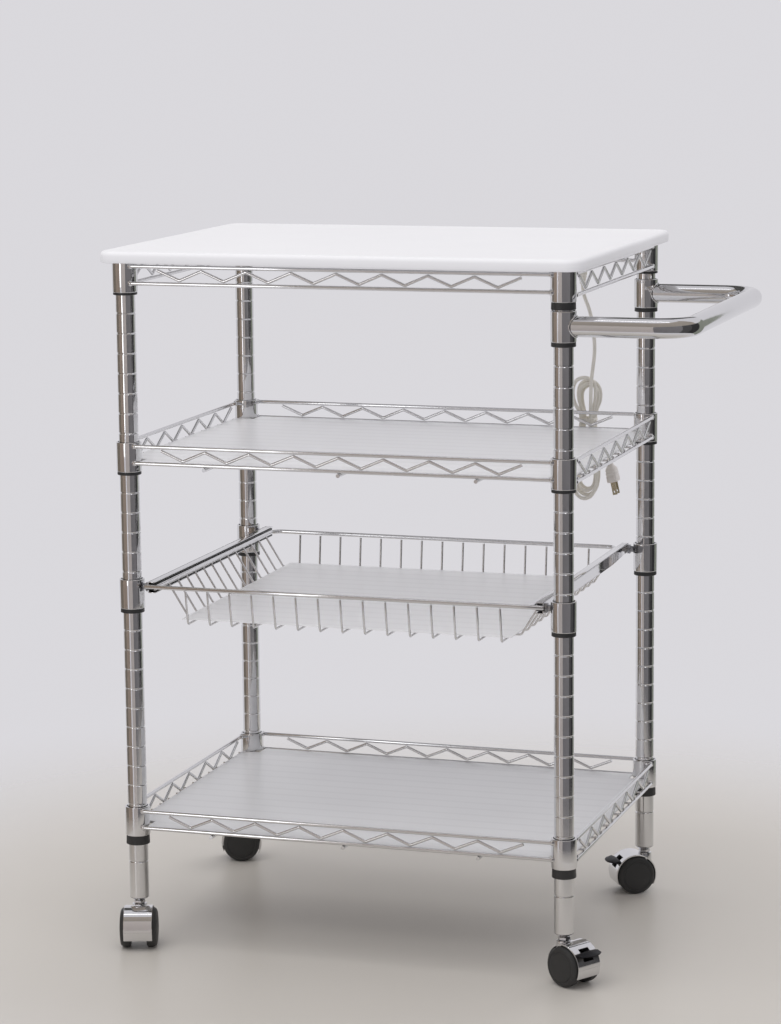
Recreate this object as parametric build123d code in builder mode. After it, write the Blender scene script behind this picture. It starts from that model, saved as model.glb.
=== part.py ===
from build123d import *
import os
from math import cos, dist, pi, radians, sin, sqrt, tan

os.makedirs("parts", exist_ok=True)

# Wire-shelf kitchen cart. Millimetres, Z up, floor at z = 0, front towards -Y, push handle towards +X.
# Every piece is drawn about the centre of the four posts and saved in the object frame.
cart_x = -53.0
cart_y = 5.0

# Flats that stand for the round on small turned pieces, and on the wheels and hoods
turned_sides = 12
wheel_sides = 24
hood_flats = 12

# Posts
post_span_x = 570.0
post_span_y = 420.0
post_r = 12.5
post_wall = 1.2
post_bottom = 62.0
post_top_gap = 2.4
cap_length = 4.0

# Split sleeves sit in the notches of the posts, which are one inch apart
notch_pitch = 25.4
first_sleeve = 133.6
sleeve_length = 41.0
sleeve_foot_r = 15.3
sleeve_top_r = 13.8
slide_fit = 0.1
low_sleeve_drop = 6.0

# Each level: notches above the lowest sleeve, and how far its collar rides above the sleeve foot
bottom_notch, bottom_rise = 0, 11.7
drawer_notch, drawer_rise = 12, 5.3
upper_notch, upper_rise = 19, 4.0
handle_notch, handle_rise = 26, 5.5
top_notch, top_rise = 28, 3.2

# Collars and trusses
collar_r = 16.0
collar_height = 38.0
rail_r = 2.5
rail_out = 12.0
rail_high = 33.5
rail_low = 12.0
zig_r = 2.0
zig_tip = 2.3
weld_gap = 0.1
front_peaks = 9
front_peak_pitch = 59.0
side_peaks = 7
side_peak_pitch = 60.6

# Shelf mats
cross_wire_spacing = 178.0
cross_wire_poke = 3.0
mat_r = 1.5
mat_count = 14
mat_pitch = 29.4
sheet_thickness = 1.0
sheet_gap = 1.5

# Worktop
worktop_overhang = 12.0
worktop_thickness = 15.0
worktop_corner_r = 22.0
worktop_edge_r = 6.0
pin_r = 3.0
pin_length = 10.0
pin_room = 0.6

# Push handle
handle_out = 151.0
handle_r = 12.5
handle_wall = 1.5
handle_bend_r = 42.0

# Runners and basket
runner_z = 472.0
runner_height = 18.0
runner_in_x = 251.0
runner_out_x = 261.0
runner_wall = 1.2
runner_end_y = 216.0
runner_taper = 90.0
stud_r = 4.0
nut_flats_r = 6.5
nut_thickness = 3.5
running_gap = 0.4
slide_height = 4.0
liner_cap = 2.5
liner_cap_out = 263.0
liner_cap_height = 9.0
rim_r = 2.75
rim_z = 474.0
rim_front_y = -222.0
rim_back_y = 208.0
rim_side_x = 247.0
rim_bar_half = 260.0
rim_corner_r = 14.0
basket_wire_r = 1.4
basket_floor_z = 430.0
basket_floor_half_x = 222.0
basket_front_foot = -215.0
basket_back_foot = 203.0
long_wire_count = 15
long_wire_pitch = 29.6
cross_wire_count = 13
cross_wire_pitch = 29.7

# Casters
wheel_r = 25.5
wheel_in = 10.5
wheel_out = 24.8
bevel_rim = 6.0
bevel_depth = 4.5
caster_trail = 17.0
hood_gap = 1.5
hood_wall = 1.5
hood_half_width = 18.5
hood_low_angle = -24.0
hood_far_angle = 211.0
web_half = 4.0
axle_r = 3.0
axle_half = 20.0
axle_boss_r = 9.0
spin_fit = 0.05
stem_r = 5.0
stem_low = 34.5
stem_high = 80.0
boss_r = 9.8
boss_top = 53.0
foot_drop = 4.0
foot_r = 8.0
stem_nut_r = 8.0
socket_length = 24.0
lever_angle = 38.0
lever_pin_r = 2.0
lever_pin_at = 19.0
lever_cheek_in = 4.5
lever_cheek_out = 7.5
lever_half_width = 17.0
lever_reach = 14.0
slot_half_width = 8.2
slot_low_angle = 20.0
slot_high_angle = 56.0

# Heading of each caster, degrees from +X, and whether it has a brake lever
caster_set = {
    "front_left": (-1, -1, -72.0, False),
    "front_right": (1, -1, -31.0, True),
    "back_left": (-1, 1, 198.0, True),
    "back_right": (1, 1, 212.0, True),
}

# Outlet box and mains lead
box_x = 155.0
box_width = 90.0
box_depth = 22.0
box_height = 36.0
box_cover = 2.0
gland_x = 191.0
gland_y = 237.0
gland_length = 22.0
gland_r = 7.0
gland_neck = 3.0
cord_r = 2.5
hank_x = 195.0
hank_y = 231.5
hank_step = 5.8
hank_loops = 4
hank_start_z = 700.0
hank_high_x = 199.0
hank_high_z = 694.0
hank_low_z = 538.0
hank_half = 17.8
fold_high_r = 15.0
fold_low_r = 16.5
waist_z = 646.0
waist_half = 11.0
waist_r = 100.0
hank_end_z = 636.0
hank_end_r = 60.0
tie_height = 6.0
tie_wall = 1.5
tie_fit = 1.2
plug_length = 25.0
plug_width = 24.0
plug_depth = 15.0
blade_length = 17.5
blade_width = 6.3
blade_thickness = 1.5
blade_spacing = 12.7
blade_hole_r = 1.5
plug_tilt = 12.0

# Values that follow from the ones above
half_x = post_span_x / 2
half_y = post_span_y / 2
corners = [(sx * half_x, sy * half_y) for sx in (-1, 1) for sy in (-1, 1)]
bottom_sleeve = first_sleeve + bottom_notch * notch_pitch
drawer_sleeve = first_sleeve + drawer_notch * notch_pitch
upper_sleeve = first_sleeve + upper_notch * notch_pitch
handle_sleeve = first_sleeve + handle_notch * notch_pitch
top_sleeve = first_sleeve + top_notch * notch_pitch
worktop_z = top_sleeve + top_rise + collar_height
post_top = worktop_z - post_top_gap
rail_y = half_y + rail_out
rail_x = half_x + rail_out
rail_stop = sqrt(collar_r**2 - (rail_out - rail_r) ** 2) + weld_gap
hood_in_r = wheel_r + hood_gap
hood_out_r = hood_in_r + hood_wall
turned_flat = cos(pi / turned_sides)
cart = Location((cart_x, cart_y, 0))


def save(part, name):
    """Place a finished piece in the object frame, name it and write its STEP file."""
    placed = part.moved(cart)
    placed.label = name
    export_step(placed, f"parts/{name}.step")


def bent_wire(points, radius, sides):
    """A drawn wire with mitred corners through the given points."""
    with BuildPart() as wire:
        with BuildLine() as path:
            Polyline(*points)
        with BuildSketch(Plane(path.line @ 0, z_dir=path.line % 0)):
            RegularPolygon(radius, sides)
        sweep(transition=Transition.RIGHT)
    return wire.part


def facing_front(y):
    """Upright plane at the given y: sketch x is +X, sketch y is +Z, extrusions go to the front."""
    return Plane.XZ.offset(-y)


def sleeve_radius(height):
    """Outer radius of the sleeve cone at a height above its foot."""
    return sleeve_foot_r - (sleeve_foot_r - sleeve_top_r) * height / sleeve_length


def turned(spots, low_r, high_r, height):
    """Straight or tapered turned pieces that stand upright on the given spots."""
    with BuildPart() as piece:
        with BuildSketch():
            RegularPolygon(low_r, turned_sides)
        with BuildSketch(Plane.XY.offset(height)):
            RegularPolygon(high_r, turned_sides)
        loft(ruled=True)
    with BuildPart() as pieces:
        with Locations(*spots):
            add(piece.part)
    return pieces.part


def collar_bores(spots, rise):
    """Tapered bores of collars that ride the given height above the sleeve foot."""
    wide = sleeve_radius(rise) + slide_fit
    narrow = sleeve_radius(rise + collar_height) + slide_fit
    return turned(spots, wide, narrow, collar_height)


def collar_ring(sleeve_z, rise):
    """Four collars of one level."""
    spots = [(x, y, sleeve_z + rise) for x, y in corners]
    with BuildPart() as ring:
        add(turned(spots, collar_r, collar_r, collar_height))
        add(collar_bores(spots, rise), mode=Mode.SUBTRACT)
    return ring.part


def zigzag(peaks, pitch, high, low):
    """Corner points of a zigzag wire that starts and ends at the upper rail."""
    count = 2 * peaks - 1
    points = []
    for k in range(count):
        along = (k - (count - 1) / 2) * pitch / 2
        points.append((along, low if k % 2 else high))
    return points


def truss_set(sleeve_z, rise):
    """Rails and zigzag wires on the four sides of one level."""
    high = sleeve_z + rise + rail_high
    low = sleeve_z + rise + rail_low
    side_low = low - 2 * rail_r - weld_gap
    tip = rail_r + zig_tip + weld_gap
    wires = []
    for side in (-1, 1):
        y = side * rail_y
        x = side * rail_x
        end_x = half_x - rail_stop
        end_y = half_y - rail_stop
        for z in (high, low):
            wires.append(bent_wire([(-end_x, y, z), (end_x, y, z)], rail_r, 8))
        for z in (high, side_low):
            wires.append(bent_wire([(x, -end_y, z), (x, end_y, z)], rail_r, 8))
        front = zigzag(front_peaks, front_peak_pitch, high - tip, low + tip)
        wires.append(bent_wire([(s, y, z) for s, z in front], zig_r, 6))
        across = zigzag(side_peaks, side_peak_pitch, high - tip, side_low + tip)
        wires.append(bent_wire([(x, s, z) for s, z in across], zig_r, 6))
    with BuildPart() as trusses:
        add(wires)
    return trusses.part


def shelf_mat(sleeve_z, rise):
    """Three cross wires under the front and back rails, with the long mat wires lying on them."""
    cross_z = sleeve_z + rise + rail_low - 2 * rail_r - weld_gap
    mat_z = cross_z + rail_r + mat_r + weld_gap
    wires = []
    for k in (-1, 0, 1):
        x = k * cross_wire_spacing
        end = rail_y + cross_wire_poke
        wires.append(bent_wire([(x, -end, cross_z), (x, end, cross_z)], rail_r, 8))
    for k in range(mat_count):
        y = (k - (mat_count - 1) / 2) * mat_pitch
        end = rail_x + mat_r
        wires.append(bent_wire([(-end, y, mat_z), (end, y, mat_z)], mat_r, 6))
    with BuildPart() as mat:
        add(wires)
    return mat.part


def shelf_sheet(sleeve_z, rise):
    """Frosted sheet on the mat wires, notched round the four collars."""
    low = sleeve_z + rise + rail_low
    z = low - 2 * rail_r - weld_gap + rail_r + 2 * mat_r + 2 * weld_gap
    with BuildPart() as sheet:
        with BuildSketch(Plane.XY.offset(z)):
            Rectangle(2 * (rail_x - zig_r - sheet_gap), 2 * (rail_y - rail_r - sheet_gap))
            with Locations(*corners):
                Rectangle(2 * (collar_r + sheet_gap), 2 * (collar_r + sheet_gap), mode=Mode.SUBTRACT)
        extrude(amount=sheet_thickness)
    return sheet.part


# Posts, their caps and the inserts that take the caster stems
for name, (sx, sy, heading, braked) in caster_set.items():
    with BuildPart() as post:
        with BuildSketch(Plane.XY.offset(post_bottom)):
            with Locations((sx * half_x, sy * half_y)):
                Circle(post_r)
                Circle(post_r - post_wall, mode=Mode.SUBTRACT)
        extrude(amount=post_top - post_bottom)
    save(post.part, f"post_{name}")

plug_r = post_r - post_wall - spin_fit
with BuildPart() as post_caps:
    add(turned([(x, y, post_top - cap_length) for x, y in corners], plug_r, plug_r, cap_length))
    add(turned([(x, y, post_top) for x, y in corners], pin_r, pin_r, pin_length))
save(post_caps.part, "post_caps")

stem_bore_r = (stem_r + spin_fit) / turned_flat
with BuildPart() as caster_sockets:
    add(turned([(x, y, post_bottom) for x, y in corners], plug_r, plug_r, socket_length))
    foot_spots = [(x, y, post_bottom - foot_drop) for x, y in corners]
    add(turned(foot_spots, foot_r, post_r, foot_drop))
    add(turned(foot_spots, stem_bore_r, stem_bore_r, foot_drop + socket_length), mode=Mode.SUBTRACT)
save(caster_sockets.part, "caster_sockets")

# Split sleeves, one for each collar; the one under the front right top collar sits lower
sleeve_spots = []
for z in (bottom_sleeve, drawer_sleeve, upper_sleeve):
    sleeve_spots += [(x, y, z) for x, y in corners]
sleeve_spots += [(half_x, y, handle_sleeve) for y in (-half_y, half_y)]
for x, y in corners:
    lowered = low_sleeve_drop if x > 0 and y < 0 else 0.0
    sleeve_spots.append((x, y, top_sleeve - lowered))
sleeve_bore_r = (post_r + slide_fit) / turned_flat
with BuildPart() as split_sleeves:
    add(turned(sleeve_spots, sleeve_foot_r, sleeve_top_r, sleeve_length))
    add(turned(sleeve_spots, sleeve_bore_r, sleeve_bore_r, sleeve_length), mode=Mode.SUBTRACT)
save(split_sleeves.part, "split_sleeves")

# Worktop, which drops over the pins on the post caps
with BuildPart() as worktop:
    with BuildSketch(Plane.XY.offset(worktop_z)):
        reach = 2 * (collar_r + worktop_overhang)
        RectangleRounded(post_span_x + reach, post_span_y + reach, worktop_corner_r)
    extrude(amount=worktop_thickness)
    fillet(worktop.faces().sort_by(Axis.Z)[-1].edges(), worktop_edge_r)
    pin_bore_r = (pin_r + slide_fit) / turned_flat
    pin_depth = pin_length - post_top_gap + pin_room
    pin_bores = turned([(x, y, worktop_z) for x, y in corners], pin_bore_r, pin_bore_r, pin_depth)
    add(pin_bores, mode=Mode.SUBTRACT)
save(worktop.part, "worktop")

# Collars, trusses, mats and sheets of the three frames, and the collars of the drawer level
save(collar_ring(top_sleeve, top_rise), "top_frame_collars")
save(truss_set(top_sleeve, top_rise), "top_frame_trusses")
save(collar_ring(drawer_sleeve, drawer_rise), "drawer_collars")
for shelf, sleeve_z, rise in (("upper", upper_sleeve, upper_rise), ("bottom", bottom_sleeve, bottom_rise)):
    save(collar_ring(sleeve_z, rise), f"{shelf}_shelf_collars")
    save(truss_set(sleeve_z, rise), f"{shelf}_shelf_trusses")
    save(shelf_mat(sleeve_z, rise), f"{shelf}_shelf_mat")
    save(shelf_sheet(sleeve_z, rise), f"{shelf}_shelf_sheet")

# Push handle: two collars and one bent tube, welded
handle_z = handle_sleeve + handle_rise
tube_z = handle_z + collar_height / 2
bar_x = half_x + handle_out


with BuildPart() as push_handle:
    with BuildLine() as handle_path:
        FilletPolyline(
            (half_x, -half_y, tube_z),
            (bar_x, -half_y, tube_z),
            (bar_x, half_y, tube_z),
            (half_x, half_y, tube_z),
            radius=handle_bend_r,
        )
    with BuildSketch(Plane(handle_path.line @ 0, z_dir=handle_path.line % 0)):
        RegularPolygon(handle_r, turned_sides)
    sweep()
    handle_spots = [(half_x, -half_y, handle_z), (half_x, half_y, handle_z)]
    add(turned(handle_spots, collar_r, collar_r, collar_height))
    add(collar_bores(handle_spots, handle_rise), mode=Mode.SUBTRACT)
    hollow_r = handle_r - handle_wall
    bend_x = bar_x - handle_bend_r
    bend_y = half_y - handle_bend_r
    for y in (-half_y, half_y):
        arm = [(half_x + collar_r, y, tube_z), (bend_x, y, tube_z)]
        add(bent_wire(arm, hollow_r, turned_sides), mode=Mode.SUBTRACT)
    bar = [(bar_x, -bend_y, tube_z), (bar_x, bend_y, tube_z)]
    add(bent_wire(bar, hollow_r, turned_sides), mode=Mode.SUBTRACT)
save(push_handle.part, "push_handle")

# Runner channels on studs that are welded to the drawer collars
with BuildPart() as runner_channels:
    for side in (-1, 1):
        with BuildSketch(facing_front(runner_end_y)):
            with Locations((side * (runner_in_x + runner_out_x) / 2, runner_z)):
                Rectangle(runner_out_x - runner_in_x, runner_height)
            with Locations((side * (runner_in_x + runner_out_x - 2 * runner_wall) / 2, runner_z)):
                Rectangle(runner_out_x - runner_in_x, runner_height - 2 * runner_wall, mode=Mode.SUBTRACT)
    extrude(amount=2 * runner_end_y)
    with BuildSketch(Plane.YZ.offset(-runner_out_x)):
        with BuildLine():
            low = runner_z - runner_height / 2
            Polyline(
                (runner_end_y - runner_taper, low - 1),
                (runner_end_y - runner_taper, low),
                (runner_end_y, runner_z - stud_r),
                (runner_end_y + 1, low - 1),
                close=True,
            )
        make_face()
    extrude(amount=2 * runner_out_x, mode=Mode.SUBTRACT)
save(runner_channels.part, "runner_channels")

stud_length = half_x - collar_r - runner_out_x - 2 * weld_gap
with BuildPart() as runner_studs:
    for side in (-1, 1):
        for y in (-half_y, half_y):
            inner = side * (runner_out_x + weld_gap)
            outer = side * (runner_out_x + weld_gap + stud_length)
            add(bent_wire([(inner, y, runner_z), (outer, y, runner_z)], stud_r, 8))
save(runner_studs.part, "runner_studs")

with BuildPart() as runner_nuts:
    for side in (-1, 1):
        plane_x = side * (runner_out_x + 2 * weld_gap)
        with BuildSketch(Plane.YZ.offset(plane_x)):
            with Locations((-half_y, runner_z), (half_y, runner_z)):
                RegularPolygon(nut_flats_r, 6)
                RegularPolygon(stud_r + slide_fit, 8, mode=Mode.SUBTRACT)
        extrude(amount=side * nut_thickness)
save(runner_nuts.part, "runner_nuts")

# Basket: rim and front bar, U-bent wires both ways, slides with liners, and the sheet on its floor
with BuildPart() as basket_rim:
    with BuildLine() as rim_path:
        rim_end = rim_front_y + rim_r + weld_gap
        FilletPolyline(
            (-rim_side_x, rim_end, rim_z),
            (-rim_side_x, rim_back_y, rim_z),
            (rim_side_x, rim_back_y, rim_z),
            (rim_side_x, rim_end, rim_z),
            radius=rim_corner_r,
        )
    with BuildSketch(Plane(rim_path.line @ 0, z_dir=rim_path.line % 0)):
        RegularPolygon(rim_r, 8)
    sweep()
    add(bent_wire([(-rim_bar_half, rim_front_y, rim_z), (rim_bar_half, rim_front_y, rim_z)], rim_r, 8))
save(basket_rim.part, "basket_rim")

hang_z = rim_z - rim_r - weld_gap - 0.6 * basket_wire_r
long_floor_z = basket_floor_z - 2 * basket_wire_r - weld_gap
long_wires = []
for k in range(long_wire_count):
    x = (k - (long_wire_count - 1) / 2) * long_wire_pitch
    long_wires.append(
        bent_wire(
            [
                (x, rim_front_y, hang_z),
                (x, basket_front_foot, long_floor_z),
                (x, basket_back_foot, long_floor_z),
                (x, rim_back_y, hang_z),
            ],
            basket_wire_r,
            6,
        )
    )
with BuildPart() as basket_long_wires:
    add(long_wires)
save(basket_long_wires.part, "basket_long_wires")

cross_wires = []
for k in range(cross_wire_count):
    y = (k - (cross_wire_count - 1) / 2) * cross_wire_pitch
    cross_wires.append(
        bent_wire(
            [
                (-rim_side_x, y, hang_z),
                (-basket_floor_half_x, y, basket_floor_z),
                (basket_floor_half_x, y, basket_floor_z),
                (rim_side_x, y, hang_z),
            ],
            basket_wire_r,
            6,
        )
    )
with BuildPart() as basket_cross_wires:
    add(cross_wires)
save(basket_cross_wires.part, "basket_cross_wires")

slide_in_x = rim_side_x + rim_r + weld_gap
slide_out_x = runner_out_x - runner_wall - running_gap
slide_front = rim_front_y + rim_r + weld_gap
slide_back = runner_end_y - 2 * liner_cap
liner_front = slide_front + liner_cap
with BuildPart() as basket_slides:
    with BuildSketch(facing_front(slide_back)):
        for side in (-1, 1):
            with Locations((side * (slide_in_x + slide_out_x) / 2, runner_z)):
                Rectangle(slide_out_x - slide_in_x, slide_height)
    extrude(amount=slide_back - liner_front - weld_gap)
save(basket_slides.part, "basket_slides")

liner_half = runner_height / 2 - runner_wall - running_gap
liner_wall = liner_half - slide_height / 2 - weld_gap
with BuildPart() as slide_liners:
    for side in (-1, 1):
        middle = side * (slide_in_x + slide_out_x) / 2
        with BuildSketch(facing_front(slide_back)):
            for end in (-1, 1):
                with Locations((middle, runner_z + end * (liner_half - liner_wall / 2))):
                    Rectangle(slide_out_x - slide_in_x, liner_wall)
        extrude(amount=slide_back - liner_front)
        with BuildSketch(facing_front(liner_front)):
            with Locations((side * (slide_in_x + liner_cap_out) / 2, runner_z)):
                Rectangle(liner_cap_out - slide_in_x, liner_cap_height)
        extrude(amount=liner_cap)
save(slide_liners.part, "slide_liners")

with BuildPart() as basket_sheet:
    with BuildSketch(Plane.XY.offset(basket_floor_z + basket_wire_r + weld_gap)):
        sheet_front = basket_front_foot + 4 * basket_wire_r
        sheet_back = basket_back_foot - 4 * basket_wire_r
        with Locations((0, (sheet_front + sheet_back) / 2)):
            Rectangle(2 * (basket_floor_half_x - 3 * basket_wire_r), sheet_back - sheet_front)
    extrude(amount=sheet_thickness)
save(basket_sheet.part, "basket_sheet")

# Casters, drawn about the stem axis with the trail along +X and then turned to their headings
with BuildPart() as caster_stems:
    add(turned([(x, y, stem_low) for x, y in corners], stem_r, stem_r, stem_high - stem_low))
    with BuildSketch(Plane.XY.offset(boss_top + running_gap)):
        with Locations(*corners):
            RegularPolygon(stem_nut_r, 6)
    extrude(amount=post_bottom - foot_drop - boss_top - 2 * running_gap)
save(caster_stems.part, "caster_stems")


def hood_point(radius, angle):
    """Sketch point at a radius and angle about the wheel centre."""
    return (caster_trail + radius * cos(radians(angle)), wheel_r + radius * sin(radians(angle)))


def hood_sector(inner, outer, start, end, flats):
    """Face of a ring sector about the wheel centre, in the sketch that is open."""
    angles = [start + (end - start) * k / flats for k in range(flats + 1)]
    rim = [hood_point(outer, angle) for angle in angles]
    rim += [hood_point(inner, angle) for angle in reversed(angles)]
    with BuildLine() as outline:
        Polyline(*rim, close=True)
    make_face(outline.edges())


def caster_hood(braked):
    """Chrome hood: arched cover, central web with the axle hole, and the boss that turns on the stem."""
    boss_low = stem_low - web_half
    with BuildPart() as hood:
        with BuildSketch(Plane.XZ):
            hood_sector(hood_in_r, hood_out_r, hood_low_angle, hood_far_angle, hood_flats)
        extrude(amount=hood_half_width, both=True)
        with BuildSketch(Plane.XZ):
            hood_sector(axle_boss_r / 2, hood_in_r + hood_wall / 2, hood_low_angle, hood_far_angle, hood_flats)
            with Locations((caster_trail, wheel_r)):
                RegularPolygon(axle_boss_r, turned_sides)
        extrude(amount=web_half, both=True)
        add(turned([(0, 0, boss_low)], boss_r, boss_r, boss_top - boss_low))
        add(turned([(0, 0, stem_low - running_gap)], stem_bore_r, stem_bore_r, boss_top), mode=Mode.SUBTRACT)
        with BuildSketch(Plane.XZ):
            with Locations((caster_trail, wheel_r)):
                RegularPolygon((axle_r + spin_fit) / turned_flat, turned_sides)
            if braked:
                with Locations(hood_point(lever_pin_at, lever_angle)):
                    RegularPolygon((lever_pin_r + spin_fit) / turned_flat, turned_sides)
        extrude(amount=hood_half_width, both=True, mode=Mode.SUBTRACT)
        if braked:
            with BuildSketch(Plane.XZ):
                hood_sector(hood_in_r - 2 * hood_wall, hood_out_r + hood_wall, slot_low_angle, slot_high_angle, 4)
            extrude(amount=slot_half_width, both=True, mode=Mode.SUBTRACT)
    return hood.part


def axle_plane(side, y):
    """Plane square to the axle, y out from the middle of the caster, that faces outwards."""
    return Plane(origin=(caster_trail, side * y, wheel_r), x_dir=(1, 0, 0), z_dir=(0, side, 0))


def caster_wheel(side):
    """One wheel with a bevelled outer face and a blind bore on the axle."""
    with BuildPart() as wheel:
        with BuildSketch(axle_plane(side, wheel_in)):
            RegularPolygon(wheel_r, wheel_sides)
        extrude(amount=wheel_out - wheel_in)
        outer_face = wheel.faces().sort_by(Axis.Y)[-1 if side > 0 else 0]
        chamfer(outer_face.edges(), bevel_rim, bevel_depth, reference=outer_face)
        with BuildSketch(axle_plane(side, wheel_in)):
            RegularPolygon((axle_r + spin_fit) / turned_flat, turned_sides)
        extrude(amount=axle_half + running_gap - wheel_in, mode=Mode.SUBTRACT)
    return wheel.part


def brake_lever():
    """Black pedal: a wing across the hood, two cheeks through the slot and the pin they share."""
    tilted = Plane(
        origin=(caster_trail, 0, wheel_r),
        x_dir=(cos(radians(lever_angle)), 0, sin(radians(lever_angle))),
        z_dir=(0, -1, 0),
    )
    cheek_end = hood_out_r + 2.0
    cheek_start = lever_pin_at - 1.6 * lever_pin_r
    tip_x = cheek_end + lever_reach * cos(radians(lever_angle))
    tip_y = -lever_reach * sin(radians(lever_angle))
    with BuildPart() as lever:
        with BuildSketch(tilted.offset(-lever_cheek_out), tilted.offset(lever_cheek_in)):
            with Locations(((cheek_start + cheek_end) / 2, 0)):
                Rectangle(cheek_end - cheek_start, 2.6 * lever_pin_r)
        extrude(amount=lever_cheek_out - lever_cheek_in)
        with BuildSketch(tilted.offset(-lever_cheek_in)):
            with Locations((lever_pin_at, 0)):
                Circle(lever_pin_r)
        extrude(amount=2 * lever_cheek_in)
        with BuildSketch(tilted):
            with BuildLine():
                Polyline(
                    (hood_out_r + 1.0, -1.3 * lever_pin_r),
                    (hood_out_r + 2.6, 1.6 * lever_pin_r),
                    (tip_x, tip_y + 0.8),
                    (tip_x - 0.4, tip_y - 0.6),
                    close=True,
                )
            make_face()
        extrude(amount=lever_half_width, both=True)
    return lever.part


for name, (sx, sy, heading, braked) in caster_set.items():
    place = Location((sx * half_x, sy * half_y, 0), (0, 0, heading))
    save(caster_hood(braked).moved(place), f"caster_hood_{name}")
    with BuildPart() as caster_axle:
        with BuildSketch(axle_plane(1, -axle_half)):
            Circle(axle_r)
        extrude(amount=2 * axle_half)
    save(caster_axle.part.moved(place), f"caster_axle_{name}")
    save(caster_wheel(1).moved(place), f"caster_wheel_{name}_a")
    save(caster_wheel(-1).moved(place), f"caster_wheel_{name}_b")
    if braked:
        save(brake_lever().moved(place), f"brake_lever_{name}")

# Outlet box on the back rails of the top frame
box_front = rail_y + rail_r + 2 * weld_gap
box_z = worktop_z - 2 - box_height / 2
with BuildPart() as outlet_box:
    with Locations((box_x, box_front + box_depth / 2, box_z)):
        Box(box_width, box_depth, box_height)
    chamfer(outlet_box.edges().filter_by(Axis.Y), 2.0)
save(outlet_box.part, "outlet_box")

with BuildPart() as outlet_cover:
    with Locations((box_x, box_front + box_depth + box_cover / 2, box_z)):
        Box(box_width - 4, box_cover, box_height - 4)
    chamfer(outlet_cover.faces().sort_by(Axis.Y)[-1].edges(), 1.0)
save(outlet_cover.part, "outlet_cover")

# Mains lead: gland, free drop, hank of folded loops with its tie, tail, plug and blades
gland_top = box_z - box_height / 2
gland_low = gland_top - gland_length
with BuildPart() as cord_gland:
    with BuildSketch(Plane.XY.offset(gland_low)):
        with Locations((gland_x, gland_y)):
            RegularPolygon(gland_r, turned_sides)
    extrude(amount=gland_length)
    gland_end = cord_gland.faces().sort_by(Axis.Z)[0]
    chamfer(gland_end.edges(), gland_r - 1.6 * cord_r, gland_length - gland_neck, reference=gland_end)
save(cord_gland.part, "cord_gland")


def corner_radii(points):
    """Largest even bend at each inner point that still leaves straight stretches between bends."""
    radii = []
    for before, here, after in zip(points, points[1:], points[2:]):
        shorter = min(dist(before, here), dist(here, after))
        turn = (Vector(here) - Vector(before)).get_angle(Vector(after) - Vector(here))
        radii.append(0.45 * shorter / tan(radians(turn) / 2))
    return radii


cord_section = 2 * sqrt(2) * cord_r**2


def cord_tube(points, name):
    """A free stretch of the lead through the given points."""
    radii = corner_radii(points)
    with BuildPart() as tube:
        with BuildLine() as path:
            FilletPolyline(*points, radius=radii)
        with BuildSketch(Plane(path.line @ 0, z_dir=path.line % 0)):
            RegularPolygon(cord_r, 8)
        sweep()
    ratio = tube.part.volume / (cord_section * path.wire().length)
    print(name, "radii", [round(r, 1) for r in radii], "length", round(path.wire().length, 1))
    print(name, "volume over section times length", round(ratio, 4))
    return tube.part


hank_top = (hank_x + waist_half, hank_y, hank_start_z)
drop_points = [
    (gland_x, gland_y, gland_low),
    (gland_x, gland_y, gland_low - 15),
    (gland_x + 8.5, gland_y - 0.5, gland_low - 31),
    (gland_x + 15.5, gland_y - 1.5, gland_low - 55),
    (gland_x + 19.5, gland_y - 3, gland_low - 88),
    (hank_top[0], hank_y, hank_top[2] + 17),
    hank_top,
]
save(cord_tube(drop_points, "cord_drop"), "cord_drop")


hank_points = [hank_top]
hank_radii = []
for loop in range(hank_loops):
    y = hank_y + loop * hank_step
    next_y = y + hank_step
    hank_points += [
        (hank_x + waist_half, y, waist_z),
        (hank_x + hank_half, y, hank_low_z),
        (hank_x - hank_half, y, hank_low_z),
        (hank_x - waist_half, next_y, waist_z),
        (hank_high_x - hank_half, next_y, hank_high_z),
        (hank_high_x + hank_half, next_y, hank_high_z),
    ]
    hank_radii += [waist_r, fold_low_r, fold_low_r, waist_r, fold_high_r, fold_high_r]
hank_last_y = hank_y + hank_loops * hank_step
hank_end = (hank_x + waist_half, hank_last_y, hank_end_z)
hank_points += [(hank_x + waist_half, hank_last_y, waist_z), hank_end]
hank_radii.append(hank_end_r)
with BuildPart() as cord_hank:
    with BuildLine() as hank_path:
        FilletPolyline(*hank_points, radius=hank_radii)
    with BuildSketch(Plane(hank_top, x_dir=(1, 0, 0), z_dir=(0, 0, -1))):
        RegularPolygon(cord_r, 8, rotation=22.5)
    sweep()
save(cord_hank.part, "cord_hank")

hank_wire = hank_path.wire()
hank_length = hank_wire.length
hank_dots = [hank_wire @ (k / 900) for k in range(901)]
dot_pitch = hank_length / 900
apart = int(8 * cord_r / dot_pitch)
least = min(
    (hank_dots[i] - hank_dots[j]).length for i in range(901) for j in range(i + apart, 901)
)
print("cord_hank length", round(hank_length, 1), "least self gap", round(least - 2 * cord_r, 2))
print("cord_hank volume over section times length", round(cord_hank.part.volume / (cord_section * hank_length), 4))

lean = (sin(radians(plug_tilt)), 0, -cos(radians(plug_tilt)))
plug_top = (hank_x + hank_half + cord_r + plug_depth / 2 + 1.5, hank_last_y + 2.5, hank_end_z - 56)
tail_points = [
    hank_end,
    (hank_end[0], hank_last_y, hank_end_z - 12),
    (hank_end[0] + 4, hank_last_y + 1, hank_end_z - 26),
    tuple(p - 13 * d for p, d in zip(plug_top, lean)),
    plug_top,
]
save(cord_tube(tail_points, "cord_tail"), "cord_tail")

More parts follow.
